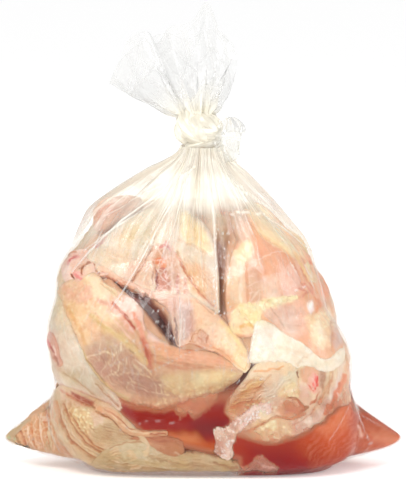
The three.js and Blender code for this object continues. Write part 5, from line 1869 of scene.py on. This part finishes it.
# Where slack film stands off the meat, its haze is partly the film's own milkiness and partly painted
# reflection of the white room.
veils = [  # (outline on the picture, softness, haze) where slack film stands off the meat
    ([(172, 158), (178, 190), (180, 240), (172, 262), (158, 240), (154, 190)], 6, 0.16),
    ([(170, 262), (178, 262), (174, 330), (168, 330)], 3, 0.10),
    ([(160, 174), (240, 174), (254, 196), (240, 208), (206, 212), (166, 208)], 8, 0.32),
    ([(206, 190), (216, 196), (218, 312), (206, 306)], 3, 0.16),
    ([(120, 190), (168, 176), (170, 210), (120, 240), (90, 262), (70, 262), (92, 222)], 10, 0.12),
    ([(178, 190), (206, 190), (206, 216), (190, 212)], 6, 0.12),
    ([(240, 196), (262, 204), (282, 224), (300, 250), (282, 240), (250, 214)], 6, 0.12),
    ([(176, 290), (190, 296), (184, 350), (174, 346)], 3, 0.12),
]
# The drops' white spots are painted highlights, the glints of the drops.
drop_highlights = [  # (outline on the picture, spacing, size) where drops and small bubbles hang on the film
    ([(212, 226), (234, 226), (232, 322), (212, 322)], 5, 1.0),
    ([(138, 294), (160, 300), (184, 344), (160, 338)], 6, 1.0),
    ([(84, 262), (130, 284), (128, 294), (90, 280)], 8, 0.9),
    ([(232, 340), (300, 400), (290, 412), (230, 380)], 11, 1.0),
]
print(len(creases), "creases,", len(veils), "hazy places and", len(drop_highlights), "places with drops")

# %% The sack's film
PLEATS = ((17, 0.5, 0.3), (29, 0.35, 2.1), (47, 0.2, 4.0))  # (how many round the bag, share, start)
PLEAT_DEPTH = 0.0016
SLACK = 0.00035  # even smooth film waves in and out this much
CREASE_FOLD = 0.0007  # how deep a drawn crease is


def make_sack_film():
    """A grid wrapped once round the bag, closed at its seam and under its foot."""
    bm = bmesh.new()
    bmesh.ops.create_grid(bm, x_segments=620, y_segments=156, size=0.5)
    co = np.array([v.co for v in bm.verts])
    turn = co[:, 0] * 2 * math.pi
    turn = turn - 0.25 * np.sin(turn)  # the grid is finest at the front
    level = (co[:, 1] + 0.5) ** 0.96
    height = heights[0] + (TOP - heights[0]) * level
    flat = on_bag(turn, height)
    px, py = pixels(flat)
    front = smooth(-flat[:, 1], 0.0, 0.02)
    gather = smooth(height, 0.12, TOP) ** 1.4
    uneven = 3 * np.sin(2 * turn)
    pleat = sum(share * np.cos(count * turn + uneven + start) for count, share, start in PLEATS)
    inward = -PLEAT_DEPTH * gather * pleat - SLACK * ripple(flat, 0.018, 3)
    haze = 0.001 + 0.007 * smooth(height, 0.05, 0.1) + 0.5 * smooth(height, 0.17, TOP) ** 1.2
    haze += 0.22 * gather * np.clip(pleat, 0, 1) ** 2
    for outline, soft, strength in veils:
        haze = haze + strength * patch(outline, soft)(px, py) * front
    for outline, cell, size in drop_highlights:
        haze = haze + 0.55 * spots(outline, cell, size, 6)(px, py) * front
    for path, strength in creases:
        mark = line(path, 0.9)(px, py) * front
        inward = inward - CREASE_FOLD * mark
        haze = haze + strength * mark
    place = on_bag(turn, height, inward)
    gathered = 0.06 * smooth(height, 0.05, 0.1) + 0.8 * smooth(height, 0.15, 0.235)
    whites = {"haze": np.clip(haze, 0, 0.95), "gather": gathered}
    piece = finish_piece("film_of_the_sack", bm, place, clear_film, "film", None, whites, co[:, :2] + 0.5)
    bm = bmesh.new()
    bm.from_mesh(piece.data)
    bmesh.ops.remove_doubles(bm, verts=bm.verts, dist=1e-5)
    foot = [e for e in bm.edges if e.is_boundary and e.verts[0].co.z < 2.5 * LOWEST]
    bmesh.ops.contextual_create(bm, geom=foot)
    bmesh.ops.recalc_face_normals(bm, faces=bm.faces)
    bm.to_mesh(piece.data)
    bm.free()
    return piece


make_sack_film()

# %% [markdown]
# ## The knot, its loop and the mouth
# The neck is twisted into ropes of film and tied once over. Many layers lie on each other there,
# so the film looks cream white. Above it the bag's mouth opens out in soft ruffles. A real knot is
# one sheet led through itself. Only its outside shows, so a ball with folds stands for it, with one
# spun ring of film round it and one below. The mouth is a grid from the knot to a rim drawn in space.

# %% Knot
KNOT = Vector((-0.0042, 0.0, 0.266))
KNOT_WIDE, KNOT_DEEP, KNOT_TALL = 0.0185, 0.017, 0.0145  # half its size each way
WHOLE_TURN = 2 * math.pi
knot_film = film_material("gathered film", body=0.05, haze_colour=(0.95, 0.86, 0.72, 1), lines=(8, 1.5),
                          roughness=0.22, rope_depth=0.0004, through=0.08)


def make_knot():
    """A ball with the folds of the twisted film."""
    bm, turn, share = ball(170, 84)
    tilt = math.pi / 2 - share * math.pi
    fold = 0.035 * np.cos(7 * turn + 5 * tilt) + 0.012 * np.cos(19 * turn + 9 * tilt)
    fold = fold + 0.05 * np.cos(3 * turn + 3 * tilt + 1)
    out = np.cos(tilt) * (1 + fold)
    place = np.stack([KNOT.x + KNOT_WIDE * out * np.sin(turn), -KNOT_DEEP * out * np.cos(turn),
                      KNOT.z + KNOT_TALL * np.sin(tilt) * (1 + 0.5 * fold)], 1)
    whites = {"haze": np.full(len(turn), 0.62), "gather": np.ones(len(turn))}
    flow = np.stack([turn / WHOLE_TURN, share], 1)
    return finish_piece("knot", bm, place, knot_film, "film", None, whites, flow)


def make_wrap(name, radius, tube, tilt, roll, lift, shift, haze):
    """A turn of gathered film round the knot: a circle spun round, with the film's folds along it.
    radius, tube, lift and shift are in mm. tilt and roll turn it about X and Y."""
    away = 5  # the spun circle's middle is this many of its radii from the axis
    bm = bmesh.new()
    ring = bmesh.ops.create_circle(bm, segments=40, radius=1)["verts"]
    bmesh.ops.rotate(bm, verts=ring, cent=(0, 0, 0), matrix=Matrix.Rotation(math.pi / 2, 3, "X"))
    bmesh.ops.translate(bm, verts=ring, vec=(away, 0, 0))
    bmesh.ops.spin(bm, geom=bm.verts[:] + bm.edges[:], cent=(0, 0, 0), axis=(0, 0, 1), angle=WHOLE_TURN,
                   steps=140, use_merge=True)
    bmesh.ops.recalc_face_normals(bm, faces=bm.faces)
    co = np.array([v.co for v in bm.verts])
    turn = np.arctan2(co[:, 1], co[:, 0])
    around_tube = np.arctan2(co[:, 2], np.hypot(co[:, 0], co[:, 1]) - away)
    fold = 1 + 0.05 * np.cos(7 * around_tube + 3 * turn) + 0.03 * np.cos(13 * around_tube - 2 * turn)
    fold = fold + 0.12 * np.cos(3 * turn + 2 * around_tube)
    out = radius + tube * fold * np.cos(around_tube)
    place = np.stack([out * np.cos(turn), out * np.sin(turn), 1.3 * tube * fold * np.sin(around_tube)], 1)
    for angle, axis in ((tilt, "X"), (roll, "Y")):
        place = place @ np.array(Matrix.Rotation(angle, 3, axis)).T
    place = (place + [shift, 0, lift]) * 0.001 + [KNOT.x, 0, KNOT.z]
    whites = {"haze": np.full(len(turn), haze), "gather": np.ones(len(turn))}
    flow = np.stack([around_tube / WHOLE_TURN, turn / WHOLE_TURN], 1)
    return finish_piece(name, bm, place, knot_film, "film", None, whites, flow)


make_knot()
make_wrap("wrap_round_the_knot", radius=12.0, tube=6.6, tilt=0.5, roll=0.5, lift=2.5, shift=0.8, haze=0.5)
make_wrap("collar_under_the_knot", radius=9.0, tube=5.6, tilt=-0.2, roll=-0.3, lift=-13, shift=4, haze=0.3)

# %% The loop beside the knot
# The loop's grey haze is painted shade, for the darker look that its folds have against white.
loop_film = film_material("film of the loop", body=0.05, haze_colour=(0.66, 0.66, 0.63, 1), lines=(8, 3),
                          crumple=(3, 2.6, 0.3, 0.4), through=0.1, scratches=0.1)


LOOP_WIDE, LOOP_DEEP = 0.0145, 0.009  # half its size across
LOOP_TALL, LOOP_RIGHT, LOOP_DOWN = 0.04, 0.022, 0.0295  # its height, and where it starts from the knot


def make_loop():
    """A crumpled pocket of film that hangs beside the knot."""
    bm, turn, share = ball(140, 90)
    t = np.clip(share, 0.03, 0.97)
    size = np.sin(math.pi * t) ** 0.6
    fold = 1 + 0.13 * np.cos(4 * turn + 6 * t) + 0.07 * np.cos(7 * turn - 4 * t)
    fold = fold + 0.05 * np.cos(15 * turn + 9 * t)
    middle = KNOT.x + LOOP_RIGHT - 0.003 * np.sin(WHOLE_TURN * t - 0.9)
    out = size * fold
    place = np.stack([middle + LOOP_WIDE * out * np.cos(turn), -0.003 + LOOP_DEEP * out * np.sin(turn),
                      KNOT.z - LOOP_DOWN + LOOP_TALL * t], 1)
    whites = {"haze": 0.12 + 0.8 * np.clip(fold - 1, 0, 1), "gather": np.full(len(t), 0.3)}
    flow = np.stack([turn / WHOLE_TURN, share], 1)
    return finish_piece("loop_of_the_knot", bm, place, loop_film, "film", None, whites, flow)


make_loop()

# %% Mouth
# The mouth's grey haze is painted shade, for the darker look that its folds have against white.
mouth_film = film_material("film of the mouth", body=0.035, haze_colour=(0.60, 0.60, 0.60, 1), lines=(34, 3),
                           crumple=(7, 2.2, 0.24, 0.24), through=0.1, scratches=0.08)
mouth_rim = [  # (x, y, z) of the bag's open edge in mm, once round it
    (23, 4, 300), (26, 12, 323), (10, 18, 342), (-13, 12, 335), (-30, 19, 339), (-52, 14, 330),
    (-66, 7, 317), (-73, -4, 302), (-66, -12, 319), (-57, -15, 339), (-43, -8, 343), (-36, 0, 333),
    (-26, -13, 347), (-9, -15, 352), (3, -10, 366.5), (14, -14, 344), (25, -12, 330), (20, -5, 314)]
RUFFLES = ((13, 8, 0.0022), (17, -10, 0.0018))  # (how many round the mouth, slant, depth)
GATHERED = 0.008  # the mouth's radius where it leaves the knot
ABOVE = 0.006  # it leaves the knot this far above the knot's middle
FOLD_DEPTH, SAG = 0.0036, 0.004


def zigzag(x):
    """A wave with sharp creases, between -1 and 1."""
    return np.arcsin(np.sin(x)) * 2 / math.pi


def make_mouth():
    """A grid from the knot up to the rim, with ruffles that slant across each other."""
    bm = bmesh.new()
    bmesh.ops.create_grid(bm, x_segments=420, y_segments=90, size=0.5)
    co = np.array([v.co for v in bm.verts])
    share, t = co[:, 0] + 0.5, co[:, 1] + 0.5
    angle = share * WHOLE_TURN + 0.1
    count = 1440
    rim = curve(mouth_rim, count, closed=True) * 0.001
    rim = np.vstack([rim, rim[:1]])
    at = ((share + 0.02) % 1) * count
    high = np.stack([np.interp(at, np.arange(count + 1), column) for column in rim.T], 1)
    gathered = GATHERED * (1 + 0.16 * np.cos(9 * angle))
    foot = np.full(len(angle), KNOT.z + ABOVE)
    low = np.stack([KNOT.x + gathered * np.cos(angle), gathered * np.sin(angle), foot], 1)
    flare = (t ** 1.12)[:, None]
    swell = np.sin(math.pi * t)
    out = FOLD_DEPTH * swell * zigzag(10 * angle + 2 * t)
    early = np.sin(math.pi * np.minimum(1, t * 1.4))
    for number, slant, depth in RUFFLES:
        out = out + depth * early * zigzag(number * angle + slant * t + 2 * np.sin(2 * angle))
    sag = SAG * swell * smooth(-np.cos(angle), 0.3, 1)
    place = low * (1 - flare) + high * flare + np.stack([out * np.cos(angle), out * np.sin(angle), -sag], 1)
    haze = 0.05 + 0.5 * (1 - smooth(t, 0, 0.4)) + 0.25 * smooth(t, 0.982, 1)
    haze = haze + 0.12 * np.clip(np.cos(31 * angle + 4 * t), 0, 1) ** 4 * (1 - t)
    whites = {"haze": haze, "gather": 0.08 + 0.9 * (1 - smooth(t, 0, 0.6))}
    return finish_piece("film_of_the_mouth", bm, place, mouth_film, "film", None, whites, co[:, :2] + 0.5)


make_mouth()

# %% [markdown]
# ## Stage, light and hand-over
# A product picture like this one is lit softly from all round, so that the film shows few hard
# glints. A white room gives most of the light, one large lamp stands in front and above, and weaker
# ones stand at the side, low in front and behind. A pale floor takes the bag's shadow.

# %% Floor
def make_floor():
    """A pale floor. It glows a little, as paper lit from below does, so that it comes out white."""
    material, _, shader = new_material("white paper")
    settle(shader, {"Base Color": (0.93, 0.93, 0.93, 1), "Emission Color": WHITE, "Emission Strength": 0.3,
                    "Roughness": 0.9, "Specular IOR Level": 0.1})
    bm = bmesh.new()
    bmesh.ops.create_grid(bm, x_segments=1, y_segments=1, size=6)
    mesh = bpy.data.meshes.new("floor")
    bm.to_mesh(mesh)
    bm.free()
    mesh.materials.append(material)
    floor = bpy.data.objects.new("floor", mesh)
    bpy.context.scene.collection.objects.link(floor)


make_floor()


# %% Lights
def soft_light(name, place, size, power, aim=(0, 0, 0.15)):
    """A round lamp, so many metres wide, that looks at the middle of the bag."""
    light = bpy.data.lights.new(name, "AREA")
    light.shape, light.size, light.energy = "DISK", size, power
    lamp = bpy.data.objects.new(name, light)
    bpy.context.scene.collection.objects.link(lamp)
    lamp.location = place
    lamp.rotation_euler = (Vector(aim) - Vector(place)).to_track_quat("-Z", "Y").to_euler()
    print(name, power, "W")


soft_light("big_soft_light", (-0.5, -1.2, 1.5), size=0.8, power=16)
soft_light("side_fill", (1.4, -0.7, 0.8), size=0.9, power=6)
soft_light("low_front_fill", (-0.7, -1.8, 0.25), size=1.2, power=6)
soft_light("back_fill", (0.2, 1.4, 1.3), size=1.0, power=8)

world = bpy.data.worlds.new("white room")
world.use_nodes = True
settle(world.node_tree.nodes["Background"], {"Color": WHITE, "Strength": 0.72})
bpy.context.scene.world = world
bpy.context.scene.view_settings.view_transform = "Standard"
bpy.context.scene.cycles.transparent_max_bounces = 24  # so that rays pass through all the film
